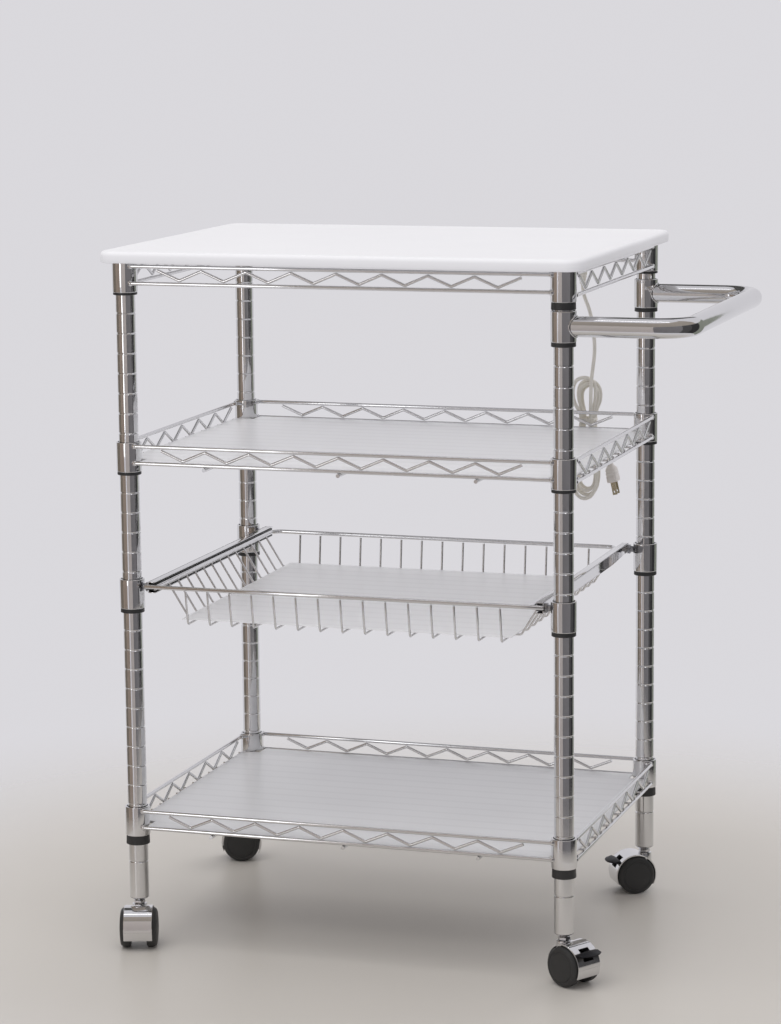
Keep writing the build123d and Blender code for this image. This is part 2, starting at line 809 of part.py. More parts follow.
with BuildPart() as cord_tie:
    tie_x = waist_half + cord_r + tie_fit
    tie_y = hank_loops * hank_step / 2 + cord_r + tie_fit
    with BuildSketch(Plane.XY.offset(waist_z - tie_height / 2)):
        with Locations((hank_x, hank_y + hank_loops * hank_step / 2)):
            Rectangle(2 * (tie_x + tie_wall), 2 * (tie_y + tie_wall))
            Rectangle(2 * tie_x, 2 * tie_y, mode=Mode.SUBTRACT)
    extrude(amount=tie_height)
    chamfer(cord_tie.edges().filter_by(Axis.Z).group_by(SortBy.DISTANCE)[-1], tie_wall)
save(cord_tie.part, "cord_tie")

plug_plane = Plane(origin=plug_top, x_dir=(0, 1, 0), z_dir=lean)
with BuildPart() as plug_body:
    with BuildSketch(plug_plane) as plug_end:
        Rectangle(plug_width, plug_depth)
        chamfer(plug_end.vertices(), 4.0)
    extrude(amount=plug_length)
    chamfer(plug_body.faces().sort_by(Axis.Z)[-1].edges(), 2.0)
save(plug_body.part, "plug_body")

with BuildPart() as plug_blades:
    with BuildSketch(plug_plane.offset(plug_length)):
        with Locations((-blade_spacing / 2, 0), (blade_spacing / 2, 0)):
            Rectangle(blade_thickness, blade_width)
    extrude(amount=blade_length)
    blade_side = Plane(
        origin=tuple(p + (plug_length + blade_length - 4) * d for p, d in zip(plug_top, lean)),
        x_dir=lean,
        z_dir=(0, 1, 0),
    )
    with BuildSketch(blade_side):
        RegularPolygon(blade_hole_r, 8)
    extrude(amount=blade_spacing, both=True, mode=Mode.SUBTRACT)
save(plug_blades.part, "plug_blades")
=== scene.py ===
import logging
from collections.abc import Iterable, Sequence
from dataclasses import dataclass, replace
from enum import Enum
from math import copysign, cos, pi, radians, sin, sqrt, tan

import bmesh
import bpy
from mathutils import Matrix, Vector


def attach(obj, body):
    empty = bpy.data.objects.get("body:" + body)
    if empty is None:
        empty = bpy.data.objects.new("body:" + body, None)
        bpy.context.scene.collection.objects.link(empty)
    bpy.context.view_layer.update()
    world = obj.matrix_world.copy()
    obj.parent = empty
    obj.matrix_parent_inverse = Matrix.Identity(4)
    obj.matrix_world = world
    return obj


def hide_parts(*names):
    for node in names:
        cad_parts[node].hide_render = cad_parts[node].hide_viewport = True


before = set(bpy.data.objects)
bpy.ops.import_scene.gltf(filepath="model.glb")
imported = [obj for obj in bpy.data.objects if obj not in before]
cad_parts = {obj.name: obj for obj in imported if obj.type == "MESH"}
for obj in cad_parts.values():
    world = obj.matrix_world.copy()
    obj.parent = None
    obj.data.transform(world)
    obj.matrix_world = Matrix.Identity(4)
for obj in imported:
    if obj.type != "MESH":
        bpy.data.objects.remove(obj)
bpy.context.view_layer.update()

log = logging.getLogger("kitchen_cart")
Point = tuple[float, float, float]
Pair = tuple[float, float]
Run = tuple[int, float]
Piece = bpy.types.Object
Socket = bpy.types.NodeSocket
Vert = bmesh.types.BMVert
Spot = Vector | Point
MM = 0.001
CART_MIDDLE = Vector((-53.0, 5.0, 0.0))
ALONG_X, ALONG_Y, ALONG_Z = (1, 0, 0), (0, 1, 0), (0, 0, 1)


def at(point: Spot) -> Vector:
    """Turn a drawing point, in mm about the middle of the posts, into metres in the object frame."""
    return (Vector(point) + CART_MIDDLE) * MM


def spread(low: float, high: float, count: int) -> list[float]:
    """Values from low to high in even steps, both ends included."""
    return [low + (high - low) * k / count for k in range(count + 1)]


def turns(count: int) -> list[float]:
    """Even angles once round a circle, in radians."""
    return [2 * pi * k / count for k in range(count)]


def squarish(turn: float, power: float) -> Pair:
    """Point of a unit circle that is drawn out towards a square, at an angle in radians."""
    x, y = cos(turn), sin(turn)
    return copysign(abs(x) ** power, x), copysign(abs(y) ** power, y)


def row(run: Run) -> list[float]:
    """Even places about the middle, for a number of wires and their pitch."""
    count, pitch = run
    return [(k - (count - 1) / 2) * pitch for k in range(count)]


class Slot(Enum):
    """Material slots of the record."""

    CHROME = "chrome"
    WORKTOP = "worktop_white"
    SHEET = "frosted_sheet"
    PLASTIC = "black_plastic"
    WHEEL = "wheel_black"
    CORD = "cord_white"
    PLUG = "plug_white"
    BLADE = "blade_metal"
    OUTLET = "outlet_white"
    ZINC = "zinc"


class Corner(Enum):
    """The four corners: sign in x, sign in y, caster heading in degrees, brake lever or not."""

    FRONT_LEFT = (-1, -1, -72.0, False)
    FRONT_RIGHT = (1, -1, -31.0, True)
    BACK_LEFT = (-1, 1, 198.0, True)
    BACK_RIGHT = (1, 1, 212.0, True)

    @property
    def label(self) -> str:
        """Name of the corner as the bodies and nodes use it."""
        return self.name.lower()

    @property
    def braked(self) -> bool:
        """Whether this caster has a brake lever."""
        return self.value[3]

    def spot(self, z: float = 0.0) -> Point:
        """Axis of this corner's post at a height."""
        return (self.value[0] * Plan.half_x, self.value[1] * Plan.half_y, z)

    def caster_place(self) -> Matrix:
        """Placement of this corner's caster, drawn with its trail along +X."""
        return Matrix.Translation(self.spot()) @ Matrix.Rotation(radians(self.value[2]), 4, "Z")


RIGHT_SIDE = (Corner.FRONT_RIGHT, Corner.BACK_RIGHT)


class Plan:
    """Sizes that several sub-assemblies share, in millimetres."""

    half_x = 285.0
    half_y = 210.0
    post_r = 12.5
    collar_r = 16.0
    collar_height = 38.0
    collar_lip = 1.0
    sleeve_length = 41.0
    sleeve_foot_r = 15.3
    sleeve_top_r = 13.8
    first_sleeve = 133.6
    notch_pitch = 25.4
    rail_r = 2.5
    rail_out = 12.0
    worktop_z = 886.0
    gap = 0.1

    @classmethod
    def sleeve_r(cls, height: float) -> float:
        """Outer radius of a sleeve at a height above its foot."""
        return cls.sleeve_foot_r - (cls.sleeve_foot_r - cls.sleeve_top_r) * height / cls.sleeve_length


class Level(Enum):
    """Levels of the cart: notch of its sleeves, and rise of its collars above the sleeve foot."""

    BOTTOM = (0, 11.7)
    DRAWER = (12, 5.3)
    UPPER = (19, 4.0)
    HANDLE = (26, 5.5)
    TOP = (28, 3.2)

    @property
    def sleeve_z(self) -> float:
        """Foot of the sleeves."""
        return Plan.first_sleeve + self.value[0] * Plan.notch_pitch

    @property
    def collar_z(self) -> float:
        """Foot of the collars."""
        return self.sleeve_z + self.value[1]


def feed(node: bpy.types.Node, inputs: dict[str, object]) -> None:
    """Give each named input of a node its value.

    Args:
        node: A shader node.
        inputs: For each input, a plain value or the output that is linked to it.
    """
    for name, source in inputs.items():
        if isinstance(source, Socket):
            node.id_data.links.new(source, node.inputs[name])
        else:
            node.inputs[name].default_value = source


def add_node(tree: bpy.types.NodeTree, kind: str, output: str, inputs: dict[str, object],
             **options: str) -> Socket:
    """Add a shader node.

    Args:
        tree: Node tree of the material.
        kind: Type of the node without its prefix.
        output: Name of the output that is used.
        inputs: Values and links of its inputs.
        **options: Settings of the node, made before its inputs.

    Returns:
        The output.
    """
    node = tree.nodes.new("ShaderNode" + kind)
    for option, choice in options.items():
        setattr(node, option, choice)
    feed(node, inputs)
    return node.outputs[output]


def new_paint(name: str) -> tuple[bpy.types.Material, bpy.types.Node]:
    """Start a node material, and hand it out with its main shader."""
    paint = bpy.data.materials.new(name)
    paint.use_nodes = True
    return paint, paint.node_tree.nodes["Principled BSDF"]


@dataclass(frozen=True)
class Finish:
    """A surface finish with its own fine variation in colour, gloss and relief.

    Colours are linear, and the main one drifts to the second in patches. Gloss is the lowest and highest
    roughness, patch and grain count to the metre, shine is the mirror part of what is no metal, clear lets
    light through, the pitch in metres of the wires under a sheet sets bands of painted shade where they
    would show through, and variant tells apart two finishes of one slot.
    """

    slot: Slot
    colour: Point
    second: Point
    metallic: float
    gloss: Pair
    patch: float
    grain: float
    relief: float
    shine: float = 0.5
    clear: float = 0.0
    wire_shade_pitch: float = 0.0
    variant: str = ""

    def paint_wire_shade(self, spot: Socket, tone: Socket) -> Socket:
        """Paint shade onto a tone in bands where the wires under a sheet would show through.

        Args:
            spot: Place on the piece.
            tone: The plain tone.

        Returns:
            The tone with bands of painted shade.
        """
        tree = spot.id_data
        # painted shade: over each wire under the sheet the tone is darkened towards this grey
        start, share, colour = 0.75, 0.09, (0.3, 0.3, 0.31, 1.0)
        wave = add_node(tree, "TexWave", "Fac", {"Scale": pi / (10 * self.wire_shade_pitch), "Vector": spot},
                        bands_direction="Y")
        wire_shade_mask = add_node(tree, "MapRange", "Result", {"From Min": start, "To Max": share, "Value": wave})
        return add_node(tree, "Mix", "Result", {"Factor": wire_shade_mask, "A": tone, "B": colour}, data_type="RGBA")

    def material(self) -> bpy.types.Material:
        """Build the finish once and hand it out again after that.

        Returns:
            The node material of this finish.
        """
        label = f"{self.slot.value}{self.variant}_finish"
        known = bpy.data.materials.get(label)
        if known:
            return known
        paint, shader = new_paint(label)
        tree = paint.node_tree
        spot = add_node(tree, "TexCoord", "Object", {})
        noise = add_node(tree, "TexNoise", "Fac", {"Scale": self.patch, "Detail": 4.0, "Vector": spot})
        tones = {"A": (*self.colour, 1.0), "B": (*self.second, 1.0), "Factor": noise}
        tone = add_node(tree, "Mix", "Result", tones, data_type="RGBA")
        low, high = self.gloss
        sheen = {"From Min": 0.3, "From Max": 0.7, "To Min": low, "To Max": high, "Value": noise}
        grains = add_node(tree, "TexNoise", "Fac", {"Scale": self.grain, "Detail": 2.0, "Vector": spot})
        bumps = {"Strength": self.relief, "Distance": 0.0004, "Height": grains}
        feed(shader, {
            "Metallic": self.metallic,
            "Specular IOR Level": self.shine,
            "Transmission Weight": self.clear,
            # sheets get bands of painted shade where the mat wires lie under them
            "Base Color": self.paint_wire_shade(spot, tone) if self.wire_shade_pitch else tone,
            "Roughness": add_node(tree, "MapRange", "Result", sheen),
            "Normal": add_node(tree, "Bump", "Normal", bumps),
        })
        return paint


METAL, DULL = 1.0, 0.0
CHROME = Finish(Slot.CHROME, (0.78, 0.78, 0.79), (0.71, 0.71, 0.72), METAL, (0.04, 0.1), 9.0, 60.0, 0.03)
ZINC = Finish(Slot.ZINC, (0.38, 0.38, 0.40), (0.28, 0.28, 0.30), METAL, (0.24, 0.4), 60.0, 700.0, 0.15)
STEM = replace(ZINC, colour=(0.74, 0.74, 0.76), second=(0.64, 0.64, 0.66), gloss=(0.14, 0.26),
               variant="_bright")
BOARD = Finish(Slot.WORKTOP, (0.86, 0.86, 0.87), (0.83, 0.83, 0.84), DULL, (0.36, 0.5), 7.0, 420.0, 0.05,
               shine=0.2)
# The frosted sheet carries bands of painted shade at the pitch of the mat wires under it.
FROST = Finish(Slot.SHEET, (0.95, 0.95, 0.955), (0.92, 0.92, 0.93), DULL, (0.3, 0.36), 8.0, 900.0, 0.05,
               clear=0.06, wire_shade_pitch=0.0294)
# A darker copy of the same sheet: painted shade for the bottom shelf, which gets less light under the shelves
# above.
FROST_SHADED = replace(FROST, colour=(0.72, 0.72, 0.725), second=(0.69, 0.69, 0.70), variant="_low")
BLACK = Finish(Slot.PLASTIC, (0.018, 0.018, 0.019), (0.03, 0.03, 0.031), DULL, (0.34, 0.52), 70.0, 1500.0,
               0.12)
PEDAL = replace(BLACK, colour=(0.007, 0.007, 0.009), second=(0.012, 0.012, 0.015), shine=0.2,
                variant="_pedal")
TYRE = Finish(Slot.WHEEL, (0.022, 0.022, 0.022), (0.036, 0.036, 0.035), DULL, (0.42, 0.6), 55.0, 1200.0, 0.14)
LEAD = Finish(Slot.CORD, (0.80, 0.77, 0.70), (0.72, 0.69, 0.62), DULL, (0.38, 0.55), 45.0, 1600.0, 0.1)
PLUG = Finish(Slot.PLUG, (0.76, 0.72, 0.68), (0.70, 0.66, 0.62), DULL, (0.36, 0.5), 60.0, 1400.0, 0.1)
BRASS = Finish(Slot.BLADE, (0.46, 0.41, 0.30), (0.36, 0.32, 0.23), METAL, (0.2, 0.36), 90.0, 900.0, 0.12)
MOULDED = Finish(Slot.OUTLET, (0.78, 0.78, 0.76), (0.73, 0.73, 0.71), DULL, (0.36, 0.5), 30.0, 1300.0, 0.1)


def dress(piece: Piece, finish: Finish) -> None:
    """Give a piece, new or from CAD, its finish."""
    piece.data.materials.clear()
    piece.data.materials.append(finish.material())


def install(piece: Piece, finish: Finish, body: str, *nodes: str) -> Piece:
    """Dress a new piece, let it stand for its CAD nodes and seat it on its body.

    Args:
        piece: The new object, in place.
        finish: Its finish.
        body: CAD body that it moves with.
        *nodes: CAD nodes that it stands for.

    Returns:
        The same object.
    """
    dress(piece, finish)
    if nodes:
        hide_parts(*nodes)
    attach(piece, body)
    log.info("%s rides on %s", piece.name, body)
    return piece


def keep_nodes(finish: Finish, *names: str) -> None:
    """Dress CAD nodes whose shape is right as it is."""
    for name in names:
        dress(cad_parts[name], finish)
        log.info("%s kept from the frame", name)


def link_new(name: str, data: bpy.types.ID) -> Piece:
    """Make an object of a mesh, curve, lamp or camera and put it in the scene."""
    made = bpy.data.objects.new(name, data)
    bpy.context.scene.collection.objects.link(made)
    return made


def mesh_object(name: str, mesh: bmesh.types.BMesh) -> Piece:
    """Make an object of a mesh that was drawn, and free the drawing.

    Args:
        name: Name of the object.
        mesh: The drawn mesh.

    Returns:
        The object, in the scene.
    """
    data = bpy.data.meshes.new(name)
    mesh.to_mesh(data)
    mesh.free()
    return link_new(name, data)


def across(axis: Vector) -> tuple[Vector, Vector]:
    """Two unit vectors square to an axis and to each other."""
    upright = 0.9
    hint = Vector(ALONG_Z if abs(axis.z) < upright else ALONG_X)
    first = hint.cross(axis).normalized()
    return first, axis.cross(first)


def bent(points: Sequence[Point], radius: float, steps: int = 5) -> list[Vector]:
    """Centre line of a drawn steel wire or tube with round bends.

    Args:
        points: Ends and corners.
        radius: Bend radius at each corner.
        steps: Points on each bend.

    Returns:
        Points close enough together for a smooth sweep.
    """
    line = [Vector(p) for p in points]
    out = [line[0]]
    for before, here, after in zip(line, line[1:], line[2:]):
        into = (here - before).normalized()
        away = (after - here).normalized()
        turn = into.angle(away)
        centre = here + (away - into).normalized() * (radius / cos(turn / 2))
        start = here - into * radius * tan(turn / 2) - centre
        for angle in spread(0.0, turn, steps):
            out.append(centre + Matrix.Rotation(angle, 3, into.cross(away)) @ start)
    return out + [line[-1]]


class Shape:
    """A mesh in the making, drawn in millimetres about the middle of the four posts."""

    def __init__(self, place: Matrix | None = None) -> None:
        """Start an empty mesh, with the move that takes what is drawn to its place on the cart."""
        self.place = place or Matrix.Identity(4)
        self.mesh = bmesh.new()

    def vertex(self, point: Spot) -> Vert:
        """Add one vertex at a drawing point."""
        return self.mesh.verts.new(at(self.place @ Vector(point)))

    def skin(self, rings: Sequence[Sequence[Spot]], closed: bool = False) -> None:
        """Join rings of equal count into one surface, and cap both ends if it has any.

        Args:
            rings: Closed rows of points.
            closed: Join the last ring to the first.
        """
        rows = [[self.vertex(p) for p in ring] for ring in rings]
        count = len(rows[0])
        for low, high in zip(rows, rows[1:] + rows[:1] if closed else rows[1:]):
            for k in range(count):
                m = (k + 1) % count
                self.mesh.faces.new((low[k], low[m], high[m], high[k]))
        if not closed:
            self.mesh.faces.new(rows[0])
            self.mesh.faces.new(rows[-1])

    def lathe(self, profile: Sequence[Pair], foot: Spot, axis: Point = ALONG_Z,
              sides: int = 40, closed: bool = False) -> None:
        """Turn a profile of radius and height about an axis.

        Args:
            profile: Radius and height of each point.
            foot: Where height is zero.
            axis: Direction of the axis.
            sides: Points round the axis.
            closed: The profile is a closed outline, as of a ring.
        """
        way = Vector(axis).normalized()
        u, v = across(way)
        spokes = [u * cos(t) + v * sin(t) for t in turns(sides)]
        self.skin([[Vector(foot) + way * h + s * r for s in spokes] for r, h in profile], closed)

    def shell(self, profile: Sequence[Pair], foot: Point, start: float, span: float, steps: int) -> None:
        """Turn a closed outline part of the way round an upright axis.

        Args:
            profile: Radius and height of each outline point.
            foot: Where height is zero.
            start: First angle in degrees.
            span: Angle turned through in degrees.
            steps: Steps of the turn.
        """
        rings = []
        for angle in spread(radians(start), radians(start + span), steps):
            rings.append([Vector(foot) + Vector((r * cos(angle), r * sin(angle), h)) for r, h in profile])
        self.skin(rings)

    def wire(self, points: Sequence[Spot], radius: float, sides: int = 10,
             closed: bool = False) -> None:
        """Sweep a round section along a line of points.

        Args:
            points: Centre line.
            radius: Section radius.
            sides: Points round the section.
            closed: The line is a loop.
        """
        line = [Vector(p) for p in points]
        count = len(line)
        rings: list[list[Vector]] = []
        u = Vector()
        for k, here in enumerate(line):
            ahead = line[(k + 1) % count] if closed or k < count - 1 else here
            behind = line[k - 1] if closed or k > 0 else here
            way = (ahead - behind).normalized()
            u = across(way)[0] if k == 0 else (u - way * u.dot(way)).normalized()
            v = way.cross(u)
            rings.append([here + (u * cos(t) + v * sin(t)) * radius for t in turns(sides)])
        self.skin(rings, closed)

    def bead(self, centre: Point, axis: Point, half_length: float = 3.4, radius: float = 3.7) -> None:
        """A smooth weld bead, rounded at both ends."""
        arc = [pi * (k + 0.5) / 8 for k in range(8)]
        self.lathe([(radius * sin(t), -half_length * cos(t)) for t in arc], centre, axis, 14)

    def block(self, low: Point, high: Point, round_off: float) -> None:
        """Add a box with rounded edges.

        Args:
            low: Lowest corner.
            high: Highest corner.
            round_off: Rounding of the edges.
        """
        middle, size = (Vector(low) + Vector(high)) / 2, Vector(high) - Vector(low)
        verts = bmesh.ops.create_cube(self.mesh, size=1.0)["verts"]
        for vert in verts:
            vert.co = at(self.place @ (middle + Vector(vert.co[i] * size[i] for i in range(3))))
        edges = list({edge for vert in verts for edge in vert.link_edges})
        bmesh.ops.bevel(self.mesh, geom=edges, offset=round_off * MM, segments=3, affect="EDGES", profile=0.5)

    def collars(self, level: Level, corners: Iterable[Corner]) -> None:
        """Add collars that sit on the tapered sleeves of a level.

        Args:
            level: Which level.
            corners: Which corners.
        """
        rise = level.value[1]
        bore = [Plan.sleeve_r(rise + h) + Plan.gap for h in (0.0, Plan.collar_height)]
        profile = lip_profile((Plan.collar_r, Plan.collar_r), bore, Plan.collar_height, Plan.collar_lip)
        for corner in corners:
            self.lathe(profile, corner.spot(level.collar_z), sides=48, closed=True)

    def fit(self, name: str, finish: Finish, body: str, *nodes: str, crease: float = 32.0) -> Piece:
        """Close the mesh, make its object and install it.

        Args:
            name: Name of the piece.
            finish: Its finish.
            body: CAD body that it moves with.
            *nodes: CAD nodes that it stands for.
            crease: Edges sharper than this, in degrees, stay sharp.

        Returns:
            The new piece.
        """
        bmesh.ops.recalc_face_normals(self.mesh, faces=self.mesh.faces)
        piece = mesh_object(name, self.mesh)
        piece.data.polygons.foreach_set("use_smooth", [True] * len(piece.data.polygons))
        piece.data.set_sharp_from_angle(angle=radians(crease))
        return install(piece, finish, body, *nodes)


def lip_profile(outer: Sequence[float], bore: Sequence[float], height: float, lip: float) -> list[Pair]:
    """Closed outline of a ring with rounded outer lips.

    Args:
        outer: Outer radius at the foot and at the top.
        bore: Bore radius at the foot and at the top.
        height: Height of the ring.
        lip: Rounding of the outer edges.

    Returns:
        Radius and height of each outline point.
    """
    arc = spread(0.0, pi / 2, 4)
    foot = [(outer[0] - lip + lip * sin(t), lip - lip * cos(t)) for t in arc]
    head = [(outer[1] - lip + lip * cos(t), height - lip + lip * sin(t)) for t in arc]
    return [(bore[0], 0.0)] + foot + head + [(bore[1], height)]


@dataclass(frozen=True)
class Card:
    """Curved card round the cart, which only the metal mirrors.

    Bearings are in degrees from +X towards +Y, heights and reach in metres, and colours linear.
    """

    name: str
    bearings: Pair
    heights: Pair
    colour: Point
    reach: float = 1.5

    def build(self) -> None:
        """Stand the card up, to be seen in mirrors only."""
        mesh = bmesh.new()
        rows = []
        for bearing in spread(*self.bearings, 12):
            t = radians(bearing)
            rows.append([mesh.verts.new((self.reach * cos(t), self.reach * sin(t), z)) for z in self.heights])
        for one, two in zip(rows, rows[1:]):
            mesh.faces.new((one[0], two[0], two[1], one[1]))
        card = mesh_object(self.name, mesh)
        paint, shader = new_paint(self.name + "_finish")
        feed(shader, {"Base Color": (*self.colour, 1.0), "Roughness": 0.9, "Specular IOR Level": 0.0})
        card.data.materials.append(paint)
        card.visible_camera = card.visible_diffuse = False
        card.visible_transmission = card.visible_shadow = False


@dataclass(frozen=True)
class Lamp:
    """Soft area lamp that the camera does not see.

    Places and sizes are in metres. A lamp may be left out of mirrors, or light nothing but mirrors.
    """

    name: str
    place: Point
    size: Pair
    watts: float
    target: Point = (0.0, 0.0, 0.6)
    tint: Point = (1.0, 1.0, 1.0)
    mirrored: bool = True
    lights: bool = True

    def build(self) -> None:
        """Hang the lamp."""
        data = bpy.data.lights.new(self.name, "AREA")
        data.shape = "RECTANGLE"
        data.size, data.size_y = self.size
        data.energy = self.watts
        data.color = self.tint
        lamp = link_new(self.name, data)
        way = Vector(self.target) - Vector(self.place)
        lamp.matrix_world = Matrix.Translation(self.place) @ way.to_track_quat("-Z", "Y").to_matrix().to_4x4()
        lamp.visible_camera = False
        lamp.visible_glossy = self.mirrored
        lamp.visible_diffuse = self.lights


WALL, CANOPY, HIGH_CANOPY = (-0.3, 1.3), (1.3, 3.4), (1.5, 3.4)
WARM = (1.0, 0.99, 0.97)
CARDS = (
    Card("olive_card", (172.0, 205.0), WALL, (0.23, 0.20, 0.16)),
    Card("warm_card", (205.0, 238.0), WALL, (0.38, 0.31, 0.25)),
    Card("grey_card", (-112.0, -80.0), WALL, (0.60, 0.55, 0.51)),
    Card("slate_card", (-80.0, -20.0), WALL, (0.225, 0.218, 0.22)),
    Card("dim_card", (-20.0, 2.0), WALL, (0.09, 0.088, 0.088)),
    Card("black_card", (2.0, 28.0), WALL, (0.045, 0.045, 0.045)),
    Card("moss_card", (28.0, 60.0), WALL, (0.30, 0.32, 0.27)),
    Card("front_canopy", (-190.0, 20.0), CANOPY, (0.36, 0.325, 0.28)),
    Card("back_canopy", (72.0, 170.0), HIGH_CANOPY, (0.09, 0.09, 0.085)),
)
LAMPS = (
    Lamp("ceiling_lamp", (-0.4, -0.8, 3.2), (2.6, 2.2), 22.0, tint=WARM, mirrored=False),
    Lamp("front_lamp", (-0.5, -2.0, 2.2), (1.6, 0.5), 7.0, (0.0, 0.0, 0.5), WARM, mirrored=False),
    Lamp("back_lamp", (0.3, 1.9, 1.5), (2.0, 0.6), 12.0, mirrored=False),
    Lamp("strip_lamp", (0.0, -0.55, 3.3), (2.4, 0.12), 2.0),
    Lamp("window_lamp", (-1.1, -2.4, 1.2), (0.34, 1.8), 4.0, lights=False),
)


@dataclass
class Studio:
    """Plain floor, soft light and the camera at the photo's angle.

    Angles are in degrees, the eye and the sensor in millimetres, the floor in metres.
    """

    lens_px: float = 3173.96
    yaw: float = -18.277
    pitch: float = 9.541
    roll: float = -0.585
    eye: Point = (1277.8, -3887.1, 1233.2)
    sensor: float = 36.0
    picture_height: float = 1024.0
    floor_half: float = 1.7
    floor_fade: Pair = (0.5, 1.3)
    floor_colour: Point = (0.60, 0.57, 0.52)
    room_colour: Point = (0.70, 0.69, 0.72)

    def camera(self) -> None:
        """Set up the camera."""
        data = bpy.data.cameras.new("photo_camera")
        data.sensor_width = self.sensor
        data.lens = self.lens_px * self.sensor / self.picture_height
        eye = link_new("photo_camera", data)
        heading = Matrix.Rotation(-radians(self.yaw), 4, "Z")
        tilt = Matrix.Rotation(radians(90.0 - self.pitch), 4, "X")
        roll = Matrix.Rotation(radians(self.roll), 4, "Z")
        eye.matrix_world = Matrix.Translation(at(self.eye)) @ heading @ tilt @ roll
        bpy.context.scene.camera = eye

    def floor(self) -> None:
        """Lay the pale floor, which thins out into the plain background away from the cart."""
        mesh = bmesh.new()
        bmesh.ops.create_grid(mesh, x_segments=1, y_segments=1, size=self.floor_half)
        floor = mesh_object("studio_floor", mesh)
        paint, shader = new_paint("studio_floor_finish")
        tree = paint.node_tree
        feed(shader, {"Base Color": (*self.floor_colour, 1.0), "Roughness": 0.34, "Specular IOR Level": 0.15})
        spot = add_node(tree, "TexCoord", "Object", {})
        reach = add_node(tree, "VectorMath", "Value", {"Vector": spot}, operation="LENGTH")
        limits = dict(zip(("From Min", "From Max"), self.floor_fade))
        thin = add_node(tree, "MapRange", "Result", {**limits, "Value": reach},
                        interpolation_type="SMOOTHSTEP")
        clear = add_node(tree, "BsdfTransparent", "BSDF", {})
        blend = tree.nodes.new("ShaderNodeMixShader")
        for socket, source in zip(blend.inputs, (thin, shader.outputs["BSDF"], clear)):
            tree.links.new(source, socket)
        feed(tree.nodes["Material Output"], {"Surface": blend.outputs["Shader"]})
        floor.data.materials.append(paint)

    def sky(self) -> None:
        """Surround the cart with one plain pale tone."""
        world = bpy.data.worlds.new("studio_room")
        world.use_nodes = True
        bpy.context.scene.world = world
        feed(world.node_tree.nodes["Background"], {"Color": (*self.room_colour, 1.0), "Strength": 1.0})

    def build(self) -> None:
        """Set up camera, floor, lamps and surroundings."""
        self.camera()
        self.floor()
        self.sky()
        for prop in CARDS + LAMPS:
            prop.build()
        bpy.context.scene.view_settings.view_transform = "Standard"
        log.info("studio ready")


